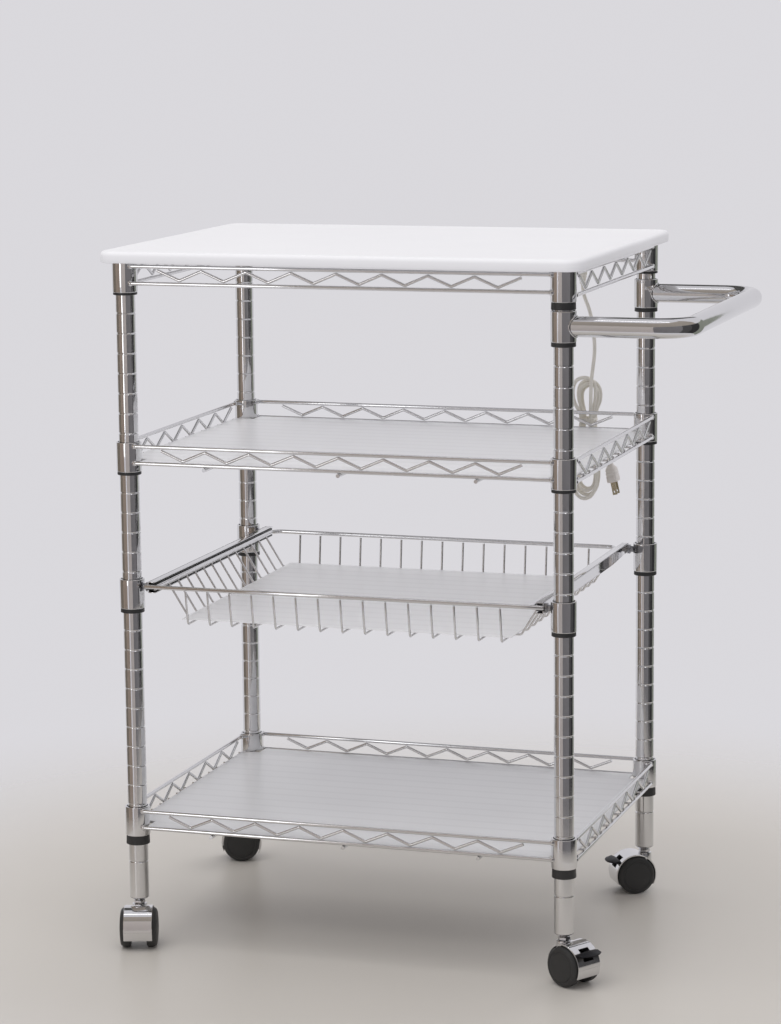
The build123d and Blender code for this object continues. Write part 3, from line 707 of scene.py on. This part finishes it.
@dataclass
class MainsLead:
    """Free drop, tied hank, tail, plug, gland and outlet box.

    The length, in metres, is not used; all else is in millimetres and degrees.
    """

    cord_r: float = 2.5
    length: float = 1.66
    gland: Point = (191.0, 237.0, 826.0)
    hank_y: float = 231.5
    hank_step: float = 5.8
    plug_top: Point = (224.3, 257.2, 580.0)
    plug_lean: float = 12.0
    cover_face: Point = (155.0, 248.5, 866.0)
    sockets: Pair = (132.0, 168.0)
    slot_off: float = 6.35

    def route(self) -> list[Point]:
        """Lead the cord from the gland through the hank to the plug.

        Returns:
            Control points of the lead.
        """
        drop = [
            self.gland, (191.6, 237.0, 812.0), (200.5, 236.5, 793.0), (206.0, 235.5, 768.0),
            (209.0, 234.0, 740.0), (207.2, 231.8, 717.0), (204.0, 231.5, 694.0),
        ]
        tail = [
            (204.0, 254.7, 649.0), (203.5, 254.7, 636.0), (205.2, 254.8, 622.0), (210.5, 255.7, 608.5),
            (221.6, 257.2, 592.7), self.plug_top,
        ]
        return drop + [point for loop in range(4) for point in self.turn(loop)] + tail

    def turn(self, loop: int) -> list[Point]:
        """Lay one loose turn, with its own size and hang.

        Args:
            loop: Which turn, from the front.

        Returns:
            Points from the tie down the right side, up the left side and over the top.
        """
        low, high, right, left, lean, fall, fan = (
            (537.0, 698.0, 1.0, 0.0, -5.0, -6.0, -1.6),
            (546.5, 689.0, -3.0, 3.0, 3.0, -3.0, -0.5),
            (540.0, 693.0, 0.0, -1.0, 0.0, -1.0, 0.5),
            (547.5, 686.0, -4.5, 4.0, 3.5, -3.0, 1.6),
        )[loop]
        y = self.hank_y + loop * self.hank_step
        past = y + self.hank_step
        return [
            (203.5, y, 649.0), (203.0, y, 634.0),
            (208.8 + right, y + fan / 2, 602.0), (212.6 + right, y + fan, 566.0),
            (208.0 + right / 2, y + fan, low + 4.0), (195.0, y + fan, low - 4.0),
            (182.0 + left / 2, y + fan, low + 4.0), (177.4 + left, y + fan, 566.0),
            (181.0 + left, y + 2.2 + fan / 2, 602.0), (189.0, y + 4.6, 634.0),
            (189.5, past, 649.0), (181.5 + lean, past, 668.0),
            (183.0 + lean, past, high - 4.0), (197.0 + lean / 2, past, high + 3.0),
            (212.0 + fall / 2, past, high - 5.0), (215.0 + fall, past, 668.0),
        ]

    def build_cord(self) -> Piece:
        """Lay the lead on one smooth spline.

        Returns:
            The lead as a curve piece.
        """
        data = bpy.data.curves.new("mains_lead", "CURVE")
        data.dimensions = "3D"
        line = data.splines.new("NURBS")
        points = self.route()
        line.points.add(len(points) - 1)
        for knot, point in zip(line.points, points):
            knot.co = (*at(point), 1.0)
        line.order_u = 3
        line.use_endpoint_u = True
        line.resolution_u = 10
        data.bevel_depth = self.cord_r * MM
        data.bevel_resolution = 4
        data.use_fill_caps = True
        return install(link_new("mains_lead", data), LEAD, "cart", "cord_drop", "cord_hank", "cord_tail")

    def build_plug(self) -> Piece:
        """Moulded plug with a grooved neck.

        Returns:
            The plug body.
        """
        tilt = radians(self.plug_lean)
        lean, side = Vector((sin(tilt), 0, -cos(tilt))), Vector(ALONG_Y)
        depth = lean.cross(side)
        neck = [(0.0, 3.6, 3.6, 2.0), (0.5, 4.2, 4.0, 2.0), (2.6, 5.0, 4.6, 2.2), (3.2, 5.8, 5.0, 2.4)]
        shoulder = [(5.0, 8.6, 6.2, 3.0), (7.2, 10.6, 7.0, 3.6), (9.0, 11.2, 7.2, 4.2)]
        grooves = [(9.6, 11.0, 6.9, 4.2), (11.4, 11.0, 6.9, 4.2), (12.0, 11.6, 7.4, 4.4),
                   (14.0, 11.6, 7.4, 4.4), (14.6, 11.1, 7.0, 4.4), (16.4, 11.1, 7.0, 4.4)]
        face = [(17.0, 11.8, 7.4, 4.6), (23.6, 11.9, 7.4, 5.0), (24.6, 11.6, 7.1, 5.0),
                (25.0, 10.8, 6.4, 5.0)]
        rings = []
        for along, wide, deep, square in neck + shoulder + grooves + face:
            middle = Vector(self.plug_top) + lean * along
            section = [squarish(t, 2 / square) for t in turns(40)]
            rings.append([middle + side * wide * u + depth * deep * v for u, v in section])
        shape = Shape()
        shape.skin(rings)
        return shape.fit("plug", PLUG, "cart", "plug_body", crease=50.0)

    def build_tie(self) -> Piece:
        """Three turns of a soft tie round the waist of the hank.

        Returns:
            The tie.
        """
        loops, steps, power, tie_r = 3, 32, 0.6, 0.9
        middle, wide, deep, climb = Vector((196.4, 243.1, 642.0)), 11.2, 15.8, 4.0
        line = []
        for k in range(loops * steps + 1):
            u, v = squarish(2 * pi * k / steps, power)
            line.append(middle + Vector((wide * u, deep * v, climb * (k / (loops * steps) - 0.5))))
        shape = Shape()
        shape.wire(line, tie_r, 8)
        return shape.fit("hank_tie", LEAD, "cart", "cord_tie", crease=60.0)

    def build_gland(self) -> None:
        """Tapered gland with relief grooves."""
        profile = [(3.2, 0.0), (3.9, 0.3), (4.2, 1.2)]
        groove = ((0.0, 0.0), (-0.7, 0.4), (-0.7, 1.2), (0.15, 1.6))
        first_r, widen, first_z, pitch = 4.3, 0.66, 2.6, 3.8
        for k in range(4):
            profile += [(first_r + widen * k + out, first_z + pitch * k + up) for out, up in groove]
        profile += [(6.7, 18.2), (7.0, 18.8), (7.0, 22.0)]
        shape = Shape()
        shape.lathe(profile, self.gland, sides=28)
        shape.fit("lead_gland", LEAD, "cart", "cord_gland")

    def build_outlet(self) -> None:
        """Outlet box with a screwed cover and two pairs of slots, whose openings, like the slot of the screw,
        are black plates of painted shade.
        """
        middle, face, height = self.cover_face
        box, cover, slots = Shape(), Shape(), Shape()

        def plate(shape: Shape, x: float, half_x: float, half_z: float, depth: Pair, edge: float) -> None:
            """Block at a place along the cover, its depth taken from the face of the cover."""
            near, far = (face + y for y in depth)
            shape.block((x - half_x, near, height - half_z), (x + half_x, far, height + half_z), edge)

        plate(box, middle, 45.0, 18.0, (-23.8, -1.8), 2.0)
        plate(cover, middle, 43.0, 16.0, (-1.8, 0.0), 0.8)
        for x in self.sockets:
            plate(cover, x, 11.0, 11.0, (-0.5, 0.15), 0.3)
            for slot_x in (x - self.slot_off, x + self.slot_off):
                # painted shade: a black plate stands for the dark opening of each slot
                plate(slots, slot_x, 0.9, 4.0, (-0.2, 0.19), 0.15)
        screw_x = sum(self.sockets) / 2
        cover.lathe([(3.0, 0.0), (2.8, 0.3), (0.4, 0.4)], (screw_x, face - 0.2, height), ALONG_Y, 20)
        # painted shade: a black line stands for the slot in the screw head
        plate(slots, screw_x, 1.9, 0.3, (0.1, 0.19), 0.04)
        box.fit("outlet_box_shell", MOULDED, "cart", "outlet_box")
        cover.fit("outlet_cover_plate", MOULDED, "cart", "outlet_cover")
        slots.fit("outlet_slots", BLACK, "cart")

    def build(self) -> None:
        """Make the lead and everything on it."""
        lead = self.build_cord()
        plug = self.build_plug()
        tie = self.build_tie()
        keep_nodes(BRASS, "plug_blades")
        self.build_gland()
        self.build_outlet()


@dataclass
class Posts:
    """Four notched posts with their sleeves, caps and sockets."""

    low: float = 62.0
    high: float = 883.6
    first_notch: float = 110.5
    notch_depth: float = 0.7
    notch_half: float = 1.3
    low_sleeve: float = 6.0

    def build_tubes(self) -> None:
        """Turn the posts, notch by notch."""
        r, edge, wall, bare_top = Plan.post_r, 0.4, 1.2, 8.0
        profile = [(r - wall, self.low), (r - edge, self.low), (r, self.low + 0.5)]
        notch = self.first_notch
        while notch < self.high - bare_top:
            for depth, height in ((0.0, -1.0), (0.7, -0.6), (1.0, 0.0), (0.7, 0.6), (0.0, 1.0)):
                profile.append((r - depth * self.notch_depth, notch + height * self.notch_half))
            notch += Plan.notch_pitch
        profile += [(r, self.high - edge), (r - edge, self.high), (r - wall, self.high)]
        for corner in Corner:
            shape = Shape()
            shape.lathe(profile, corner.spot(), sides=48)
            shape.fit(f"notched_{corner.label}", CHROME, "cart", f"post_{corner.label}", crease=25.0)

    def build_sleeves(self) -> None:
        """Split sleeves, each in two halves."""
        bore, lip, splits, span = 12.6, 0.6, (43.0, 223.0), 175.0
        outer = (Plan.sleeve_foot_r, Plan.sleeve_top_r)
        profile = lip_profile(outer, (bore, bore), Plan.sleeve_length, lip)
        spots = [corner.spot(Level.HANDLE.sleeve_z) for corner in RIGHT_SIDE]
        for corner in Corner:
            spots += [corner.spot(level.sleeve_z) for level in (Level.BOTTOM, Level.DRAWER, Level.UPPER)]
            drop = self.low_sleeve if corner is Corner.FRONT_RIGHT else 0.0
            spots.append(corner.spot(Level.TOP.sleeve_z - drop))
        shape = Shape()
        for spot in spots:
            for start in splits:
                shape.shell(profile, spot, start, span, 22)
        shape.fit("sleeve_halves", BLACK, "cart", "split_sleeves")

    def build_feet(self) -> None:
        """Inserts in the post ends, with the tapered foot that shows under each post."""
        foot = [(5.2, -4.0), (7.6, -4.0), (8.2, -3.6), (12.0, -0.5), (12.3, -0.1)]
        insert = [(11.1, 0.0), (11.1, 24.0), (5.2, 24.0)]
        shape = Shape()
        for corner in Corner:
            shape.lathe(foot + insert, corner.spot(self.low), sides=36, closed=True)
        shape.fit("post_feet", CHROME, "cart", "caster_sockets")
        keep_nodes(BLACK, "post_caps")

    def build(self) -> None:
        """Make posts, sleeves and feet."""
        self.build_tubes()
        self.build_sleeves()
        self.build_feet()


@dataclass
class Worktop:
    """White board with rounded corners and edges."""

    half_x: float = 313.0
    half_y: float = 238.0
    thickness: float = 15.0
    corner_r: float = 22.0
    edge_r: float = 6.0
    lower_edge: tuple[Pair, ...] = ((1.6, 0.0), (0.5, 0.4), (0.0, 1.6))

    def outline(self, inset: float, z: float) -> list[Vector]:
        """Draw the rounded outline of the board.

        Args:
            inset: How far it is drawn in.
            z: Height above the underside.

        Returns:
            Points once round the board.
        """
        x, y, r = self.half_x - self.corner_r, self.half_y - self.corner_r, self.corner_r - inset
        ring = []
        for k, (sx, sy) in enumerate(((1, 1), (-1, 1), (-1, -1), (1, -1))):
            for t in spread(pi / 2 * k, pi / 2 * (k + 1), 8):
                ring.append(Vector((sx * x + r * cos(t), sy * y + r * sin(t), Plan.worktop_z + z)))
        return ring

    def build(self) -> None:
        """Stack the outlines into a board."""
        rings = [self.outline(inset, z) for inset, z in self.lower_edge]
        for t in spread(0.0, pi / 2, 8):
            drop = self.edge_r * (1 - sin(t))
            rings.append(self.outline(self.edge_r * (1 - cos(t)), self.thickness - drop))
        shape = Shape()
        shape.skin(rings)
        shape.fit("board", BOARD, "cart", "worktop", crease=40.0)


@dataclass
class WireFrame:
    """Collars, rails and zigzags of one level, with the mat and sheet of a shelf.

    A run is a number of wires or peaks and their pitch. Heights are above the foot of the collars.
    """

    level: Level
    name: str
    shelf: bool
    rail_high: float = 33.5
    rail_low: float = 12.0
    bead_in: float = 0.6
    zig_r: float = 2.0
    zig_bend: float = 3.2
    zig_front: Run = (9, 59.0)
    zig_side: Run = (7, 60.6)
    cross_x: float = 178.0
    mat_wires: Run = (14, 29.4)
    mat_r: float = 1.5

    def build_collars(self) -> None:
        """Four collars with rounded lips."""
        shape = Shape()
        shape.collars(self.level, Corner)
        shape.fit(f"{self.name}_rings", CHROME, "cart", f"{self.name}_collars")

    def zigzag(self, run: Run, high: float, low: float) -> list[Pair]:
        """Distance along and height of each corner of a zigzag that starts and ends high."""
        peaks, pitch = run
        return [((k - (peaks - 1)) * pitch / 2, low if k % 2 else high) for k in range(2 * peaks - 1)]

    def build_trusses(self) -> None:
        """Rails welded to the collars, and the zigzag wires between them."""
        high, low = self.level.collar_z + self.rail_high, self.level.collar_z + self.rail_low
        side_low = low - 2 * Plan.rail_r - Plan.gap
        tip = Plan.rail_r + self.zig_r + Plan.gap
        stop = sqrt(Plan.collar_r**2 - (Plan.rail_out - Plan.rail_r) ** 2)
        end_x, end_y, inward = Plan.half_x - stop, Plan.half_y - stop, self.bead_in
        shape = Shape()
        for side in (-1, 1):
            x, y = side * (Plan.half_x + Plan.rail_out), side * (Plan.half_y + Plan.rail_out)
            for front_z, side_z in ((high, high), (low, side_low)):
                shape.wire([(-end_x, y, front_z), (end_x, y, front_z)], Plan.rail_r, 16)
                shape.wire([(x, -end_y, side_z), (x, end_y, side_z)], Plan.rail_r, 16)
                for end in (-1, 1):
                    shape.bead((end * (end_x + inward), y - side * inward, front_z), ALONG_X)
                    shape.bead((x - side * inward, end * (end_y + inward), side_z), ALONG_Y)
            front = [(s, y, z) for s, z in self.zigzag(self.zig_front, high - tip, low + tip)]
            along = [(x, s, z) for s, z in self.zigzag(self.zig_side, high - tip, side_low + tip)]
            for corners in (front, along):
                shape.wire(bent(corners, self.zig_bend), self.zig_r, 10)
        shape.fit(f"{self.name}_wirework", CHROME, "cart", f"{self.name}_trusses", crease=50.0)

    def build_mat(self) -> None:
        """Cross wires under the rails with the long mat wires on them."""
        cross_z = self.level.collar_z + self.rail_low - 2 * Plan.rail_r - Plan.gap
        mat_z = cross_z + Plan.rail_r + self.mat_r + Plan.gap
        past_x, past_y = 1.5, 3.0
        end_x, end_y = Plan.half_x + Plan.rail_out + past_x, Plan.half_y + Plan.rail_out + past_y
        shape = Shape()
        for x in (-self.cross_x, 0.0, self.cross_x):
            shape.wire([(x, -end_y, cross_z), (x, end_y, cross_z)], Plan.rail_r, 14)
        for y in row(self.mat_wires):
            shape.wire([(-end_x, y, mat_z), (end_x, y, mat_z)], self.mat_r, 10)
        shape.fit(f"{self.name}_grid", CHROME, "cart", f"{self.name}_mat", crease=50.0)
        # the bottom sheet gets the darker copy, painted shade
        keep_nodes(FROST if self.level is Level.UPPER else FROST_SHADED, f"{self.name}_sheet")

    def build(self) -> None:
        """Make the level."""
        self.build_collars()
        self.build_trusses()
        if self.shelf:
            self.build_mat()


@dataclass
class PushHandle:
    """Bent tube handle welded to two collars."""

    reach: float = 151.0
    tube_r: float = 12.5
    bend_r: float = 42.0

    def build(self) -> None:
        """Bend the tube, add its collars and weld seams."""
        z = Level.HANDLE.collar_z + Plan.collar_height / 2
        bar, y = Plan.half_x + self.reach, Plan.half_y
        into_collar, on_collar, seam_r, round_tube = 4.0, 0.4, 1.1, self.tube_r + 0.3
        start = Plan.half_x + Plan.collar_r - into_collar
        shape = Shape()
        corners = [(start, -y, z), (bar, -y, z), (bar, y, z), (start, y, z)]
        shape.wire(bent(corners, self.bend_r, 16), self.tube_r, 40)
        shape.collars(Level.HANDLE, RIGHT_SIDE)
        for corner in RIGHT_SIDE:
            seam = []
            for t in turns(48):
                off = round_tube * sin(t)
                out = sqrt(Plan.collar_r**2 - off**2) + on_collar
                seam.append(Vector(corner.spot(z)) + Vector((out, off, round_tube * cos(t))))
            shape.wire(seam, seam_r, 8, closed=True)
        shape.fit("handle_tube", CHROME, "cart", "push_handle", crease=40.0)


@dataclass
class BasketDrawer:
    """Sliding wire basket with its runners.

    A run is a number of wires and their pitch.
    """

    rim_z: float = 474.0
    rim_r: float = 2.75
    rim_bend: float = 14.0
    wire_r: float = 1.4
    floor_z: float = 430.0
    front_y: float = -222.0
    back_y: float = 208.0
    side_x: float = 247.0
    bar_half: float = 263.0
    bend: float = 4.0
    floor_y: Pair = (-215.0, 203.0)
    floor_x: float = 222.0
    long_wires: Run = (15, 29.6)
    cross_wires: Run = (13, 29.7)
    runner_z: float = 472.0
    slide_x: Pair = (249.9, 259.6)
    slide_y: Pair = (-216.6, 211.0)
    channel_x: Pair = (251.0, 261.0)
    channel_half: float = 7.2
    channel_end: float = 216.0

    def build_rim(self) -> None:
        """Rim wire with round back corners, and the front bar with rounded ends."""
        x, y, z, bar = self.side_x, self.back_y, self.rim_z, self.bar_half
        into_bar = 1.0
        start = self.front_y + self.rim_r - into_bar
        corners = [(-x, start, z), (-x, y, z), (x, y, z), (x, start, z)]
        end = [(1.2, bar), (2.3, bar - 0.4), (self.rim_r, bar - 1.6)]
        shape = Shape()
        shape.wire(bent(corners, self.rim_bend, 10), self.rim_r, 16)
        shape.lathe([(r, -h) for r, h in end] + end[::-1], (0.0, self.front_y, z), ALONG_X, 16)
        shape.fit("basket_rim_wire", CHROME, "drawer", "basket_rim", crease=50.0)

    def build_wires(self) -> None:
        """Wires bent into flat U shapes, lengthways and across."""
        weld, z = 0.6, self.floor_z
        hang = self.rim_z - self.rim_r - Plan.gap - weld * self.wire_r
        low = z - 2 * self.wire_r - Plan.gap
        front, back = self.floor_y
        lengthways, sideways = Shape(), Shape()
        for x in row(self.long_wires):
            corners = [(x, self.front_y, hang), (x, front, low), (x, back, low), (x, self.back_y, hang)]
            lengthways.wire(bent(corners, self.bend), self.wire_r)
        for y in row(self.cross_wires):
            corners = [(-self.side_x, y, hang), (-self.floor_x, y, z), (self.floor_x, y, z),
                       (self.side_x, y, hang)]
            sideways.wire(bent(corners, self.bend), self.wire_r)
        lengthways.fit("basket_wires_long", CHROME, "drawer", "basket_long_wires", crease=50.0)
        sideways.fit("basket_wires_across", CHROME, "drawer", "basket_cross_wires", crease=50.0)

    def build_slides(self) -> None:
        """Slides along the basket, with their black liners and front stops."""
        z, half, stop_x = self.runner_z, 3.2, (252.0, 262.8)
        front, back = self.slide_y
        liner_top, liner_foot, liner_back = 5.7, 5.4, 9.0
        slide, liner = Shape(), Shape()
        for side in (-1, 1):
            left, right = sorted(side * x for x in self.slide_x)
            slide.block((left, front, z - half), (right, back, z + half), 0.6)
            for low, high in ((z + half, z + liner_top), (z - liner_foot, z - half)):
                liner.block((left, front + liner_back, low), (right, back, high), 0.4)
            left, right = sorted(side * x for x in stop_x)
            liner.block((left, front - 2.4, z - 2.7), (right, front, z + 3.0), 0.8)
        slide.fit("basket_slide_bars", CHROME, "drawer", "basket_slides")
        liner.fit("liner_strips", BLACK, "drawer", "slide_liners")

    def build_channels(self) -> None:
        """Runner channels, open to the basket, with a lower edge that rises towards the back."""
        end, rise, wall, edge = self.channel_end, 126.0, 1.2, 0.5
        low, high = self.runner_z - self.channel_half, self.runner_z + self.channel_half
        outer = self.channel_x[1]
        outline = [(-end, low), (rise, low), (end, self.runner_z - 3.0), (end, high), (-end, high)]
        shape = Shape()
        for side in (-1, 1):
            shape.skin([[(side * x, y, h) for y, h in outline] for x in (outer - wall, outer)])
            left, right = sorted(side * x for x in self.channel_x)
            shape.block((left, -end, high - wall), (right, end, high), edge)
            shape.block((left, -end, low), (right, rise, low + wall), edge)
        shape.fit("runner_rails", CHROME, "cart", "runner_channels")

    def build(self) -> None:
        """Make the basket with its slides and runners."""
        self.build_rim()
        self.build_wires()
        self.build_slides()
        self.build_channels()
        keep_nodes(FROST, "basket_sheet")
        keep_nodes(ZINC, "runner_studs", "runner_nuts")


@dataclass
class Casters:
    """Hooded twin-wheel casters with their stems and brake levers.

    Angles are in degrees about the axle, which lies behind the stem by the trail.
    """

    wheel_r: float = 25.5
    trail: float = 17.0
    hood_r: float = 28.5
    hood_half: float = 18.5
    hood_start: float = -24.0
    hood_end: float = 211.0
    sheet: float = 1.4
    crease: Point = (-2.0, 0.0, 2.0)
    slot_start: float = 20.0
    slot_end: float = 56.0
    slot_half: float = 8.2
    web: tuple[Pair, ...] = ((5.0, -4.0), (27.6, -4.0), (27.6, 4.0), (5.0, 4.0))
    lever_angle: float = 38.0
    lever_half: float = 17.0
    lever_reach: float = 14.0

    def spoke(self, radius: float, angle: float, y: float = 0.0) -> Vector:
        """Point at a radius and an angle in degrees about the axle."""
        t = radians(angle)
        return Vector((self.trail + radius * cos(t), y, self.wheel_r + radius * sin(t)))

    @property
    def axle(self) -> Vector:
        """Middle of the axle."""
        return self.spoke(0.0, 0.0)

    def add_sheet(self, shape: Shape, slotted: bool) -> None:
        """Arch the sheet of a hood, with its crease and the slot for a lever.

        Args:
            shape: The hood in the making.
            slotted: Whether it has a slot.
        """
        half, edge, edge_drop, crease_drop = self.hood_half, 0.5, 0.35, 0.5
        marks = {self.slot_start, self.slot_end, *self.crease}
        angles = sorted(marks | set(spread(self.hood_start, self.hood_end, 56)))
        widths = [-half, -half + edge, -self.slot_half, 0.0, self.slot_half, half - edge, half]
        rows, columns = len(angles) - 1, len(widths) - 1
        grid: dict[tuple[int, int, bool], Vert] = {}

        def knot(i: int, j: int, inner: bool) -> Vert:
            """Vertex of the sheet, made once."""
            if (i, j, inner) not in grid:
                drop = (crease_drop if angles[i] <= 0.0 else 0.0) + (edge_drop if j in (0, columns) else 0.0)
                r = self.hood_r - (self.sheet if inner else drop)
                grid[i, j, inner] = shape.vertex(self.spoke(r, angles[i], widths[j]))
            return grid[i, j, inner]

        def solid(i: int, j: int) -> bool:
            """Whether there is metal in a cell of the sheet."""
            if not (0 <= i < rows and 0 <= j < columns):
                return False
            inside = self.slot_start <= angles[i] < self.slot_end
            return not (slotted and inside and abs(widths[j] + widths[j + 1]) < 2 * self.slot_half)

        for i, j in [(i, j) for i in range(rows) for j in range(columns) if solid(i, j)]:
            ring = ((i, j), (i + 1, j), (i + 1, j + 1), (i, j + 1))
            for inner in (False, True):
                shape.mesh.faces.new([knot(*cell, inner) for cell in ring])
            for k, (down, over) in enumerate(((0, -1), (1, 0), (0, 1), (-1, 0))):
                if not solid(i + down, j + over):
                    one, two = ring[k], ring[(k + 1) % 4]
                    wall = ((*one, False), (*two, False), (*two, True), (*one, True))
                    shape.mesh.faces.new([knot(*cell) for cell in wall])

    def build_hood(self, corner: Corner) -> None:
        """Hood with the web that carries the axle, and the turning boss.

        Args:
            corner: Which caster.
        """
        shape = Shape(corner.caster_place())
        self.add_sheet(shape, corner.braked)
        margin, crown = 2.0, 100.0
        below = above = crown
        if corner.braked:
            below, above = self.slot_start - margin, self.slot_end + margin
        for start, end in ((self.hood_start + margin, below), (above, self.hood_end - margin)):
            shape.skin([[self.spoke(r, t, y) for r, y in self.web] for t in spread(start, end, 24)])
        seat = [(3.1, -4.3), (8.4, -4.3), (9.0, -3.8), (9.0, 3.8), (8.4, 4.3), (3.1, 4.3)]
        boss = [(5.2, 34.2), (5.2, 53.0), (8.6, 53.0), (9.5, 52.4), (9.8, 51.4), (9.8, 30.6), (5.2, 30.6)]
        shape.lathe(seat, self.axle, ALONG_Y, 32, closed=True)
        shape.lathe(boss, (0.0, 0.0, 0.0), sides=36, closed=True)
        label = corner.label
        shape.fit(f"hood_{label}", CHROME, f"caster_{label}", f"caster_hood_{label}", crease=30.0)
        keep_nodes(ZINC, f"caster_axle_{label}")

    def build_wheels(self, corner: Corner) -> None:
        """Two black wheels with round shoulders and domed faces.

        Args:
            corner: Which caster.
        """
        r, shoulder = self.wheel_r, 18.2
        tread = [(3.2, 10.5), (r - 2.4, 10.5), (r - 0.9, 10.9), (r - 0.2, 11.7), (r, 12.8), (r, shoulder)]
        arc = [(r - 5.2 * (1 - cos(t)), shoulder + 5.4 * sin(t)) for t in spread(0.0, pi / 2, 8)[1:-1]]
        groove = [(r - 5.4, 23.6), (r - 5.9, 23.2), (r - 6.6, 23.2), (r - 7.1, 23.7)]
        dome = [(r - 9.0, 24.1), (12.0, 24.45), (6.0, 24.7), (1.2, 24.8)]
        for side, mark in ((1, "a"), (-1, "b")):
            shape = Shape(corner.caster_place())
            shape.lathe(tread + arc + groove + dome, self.axle, (0, side, 0), 56)
            name = f"{corner.label}_{mark}"
            shape.fit(f"roller_{name}", TYRE, f"wheel_{name}", f"caster_wheel_{name}", crease=28.0)

    def build_lever(self, corner: Corner) -> None:
        """Brake pedal: a wing with drawn-out tips, two cheeks and the pin.

        Args:
            corner: Which caster.
        """
        tilt = radians(self.lever_angle)

        def spot(out: float, up: float, y: float) -> Vector:
            """Point out along the lever, up from it and across it."""
            return self.axle + Vector((out * cos(tilt) - up * sin(tilt), y, out * sin(tilt) + up * cos(tilt)))

        shape = Shape(corner.caster_place())
        root = self.hood_r + 2.0
        rings = []
        for s in spread(-1.0, 1.0, 24):
            draw = self.lever_reach * (1 - 0.45 * abs(s) ** 2.2)
            thin = 1 - 0.55 * s * s
            low, high = (root - 0.8, -2.4 * thin), (root + 0.6, 3.2 * thin)
            nose_x, nose_z = root + draw * cos(tilt), -draw * sin(tilt)
            outline = [
                low, (low[0] + 0.3, 0.3 * thin), high, (high[0] + 1.4, high[1] - 0.6 * thin),
                ((high[0] + nose_x) / 2 + 0.4, (high[1] + nose_z) / 2 + 0.7 * thin),
                (nose_x, nose_z + 0.8 * thin), (nose_x + 0.1, nose_z), (nose_x - 0.4, nose_z - 0.5 * thin),
                ((low[0] + nose_x) / 2, (low[1] + nose_z) / 2 - 0.5 * thin),
            ]
            rings.append([spot(a, b, self.lever_half * s) for a, b in outline])
        shape.skin(rings)
        cheek = ((16.6, -2.2), (17.4, -2.6), (30.2, -2.6), (30.2, 2.6), (17.4, 2.6), (16.0, 1.2))
        cheek_y, pin_out, pin_r, pin_half = (4.5, 7.5), 19.0, 2.0, 4.6
        for side in (-1, 1):
            shape.skin([[spot(a, b, side * y) for a, b in cheek] for y in cheek_y])
        shape.lathe([(pin_r, -pin_half), (pin_r, pin_half)], spot(pin_out, 0.0, 0.0), ALONG_Y, 20)
        label = corner.label
        shape.fit(f"pedal_{label}", PEDAL, f"lever_{label}", f"brake_lever_{label}", crease=34.0)

    def build_stems(self) -> None:
        """Stems with hexagon nuts between the hoods and the posts."""
        stem = [(4.2, 34.5), (5.0, 35.2), (5.0, 79.2), (4.2, 80.0)]
        nut = [(7.0, 53.5), (7.8, 53.9), (7.8, 57.1), (7.0, 57.5)]
        shape = Shape()
        for corner in Corner:
            axis = Vector(corner.spot())
            shape.lathe(stem, axis, sides=28)
            shape.skin([[axis + Vector((r * cos(t), r * sin(t), z)) for t in turns(6)] for r, z in nut])
        shape.fit("stems", STEM, "cart", "caster_stems")

    def build(self) -> None:
        """Make the four casters."""
        for corner in Corner:
            self.build_hood(corner)
            self.build_wheels(corner)
            if corner.braked:
                self.build_lever(corner)
        self.build_stems()


def main() -> None:
    """Build the cart piece by piece."""
    logging.basicConfig(level=logging.INFO, format="%(message)s")
    Studio().build()
    MainsLead().build()
    Posts().build()
    Worktop().build()
    WireFrame(Level.TOP, "top_frame", False).build()
    WireFrame(Level.UPPER, "upper_shelf", True).build()
    WireFrame(Level.BOTTOM, "bottom_shelf", True).build()
    drawer_level = WireFrame(Level.DRAWER, "drawer", False)
    drawer_level.build_collars()
    PushHandle().build()
    BasketDrawer().build()
    Casters().build()
    log.info("sizes written")


if __name__ == "__main__":
    main()
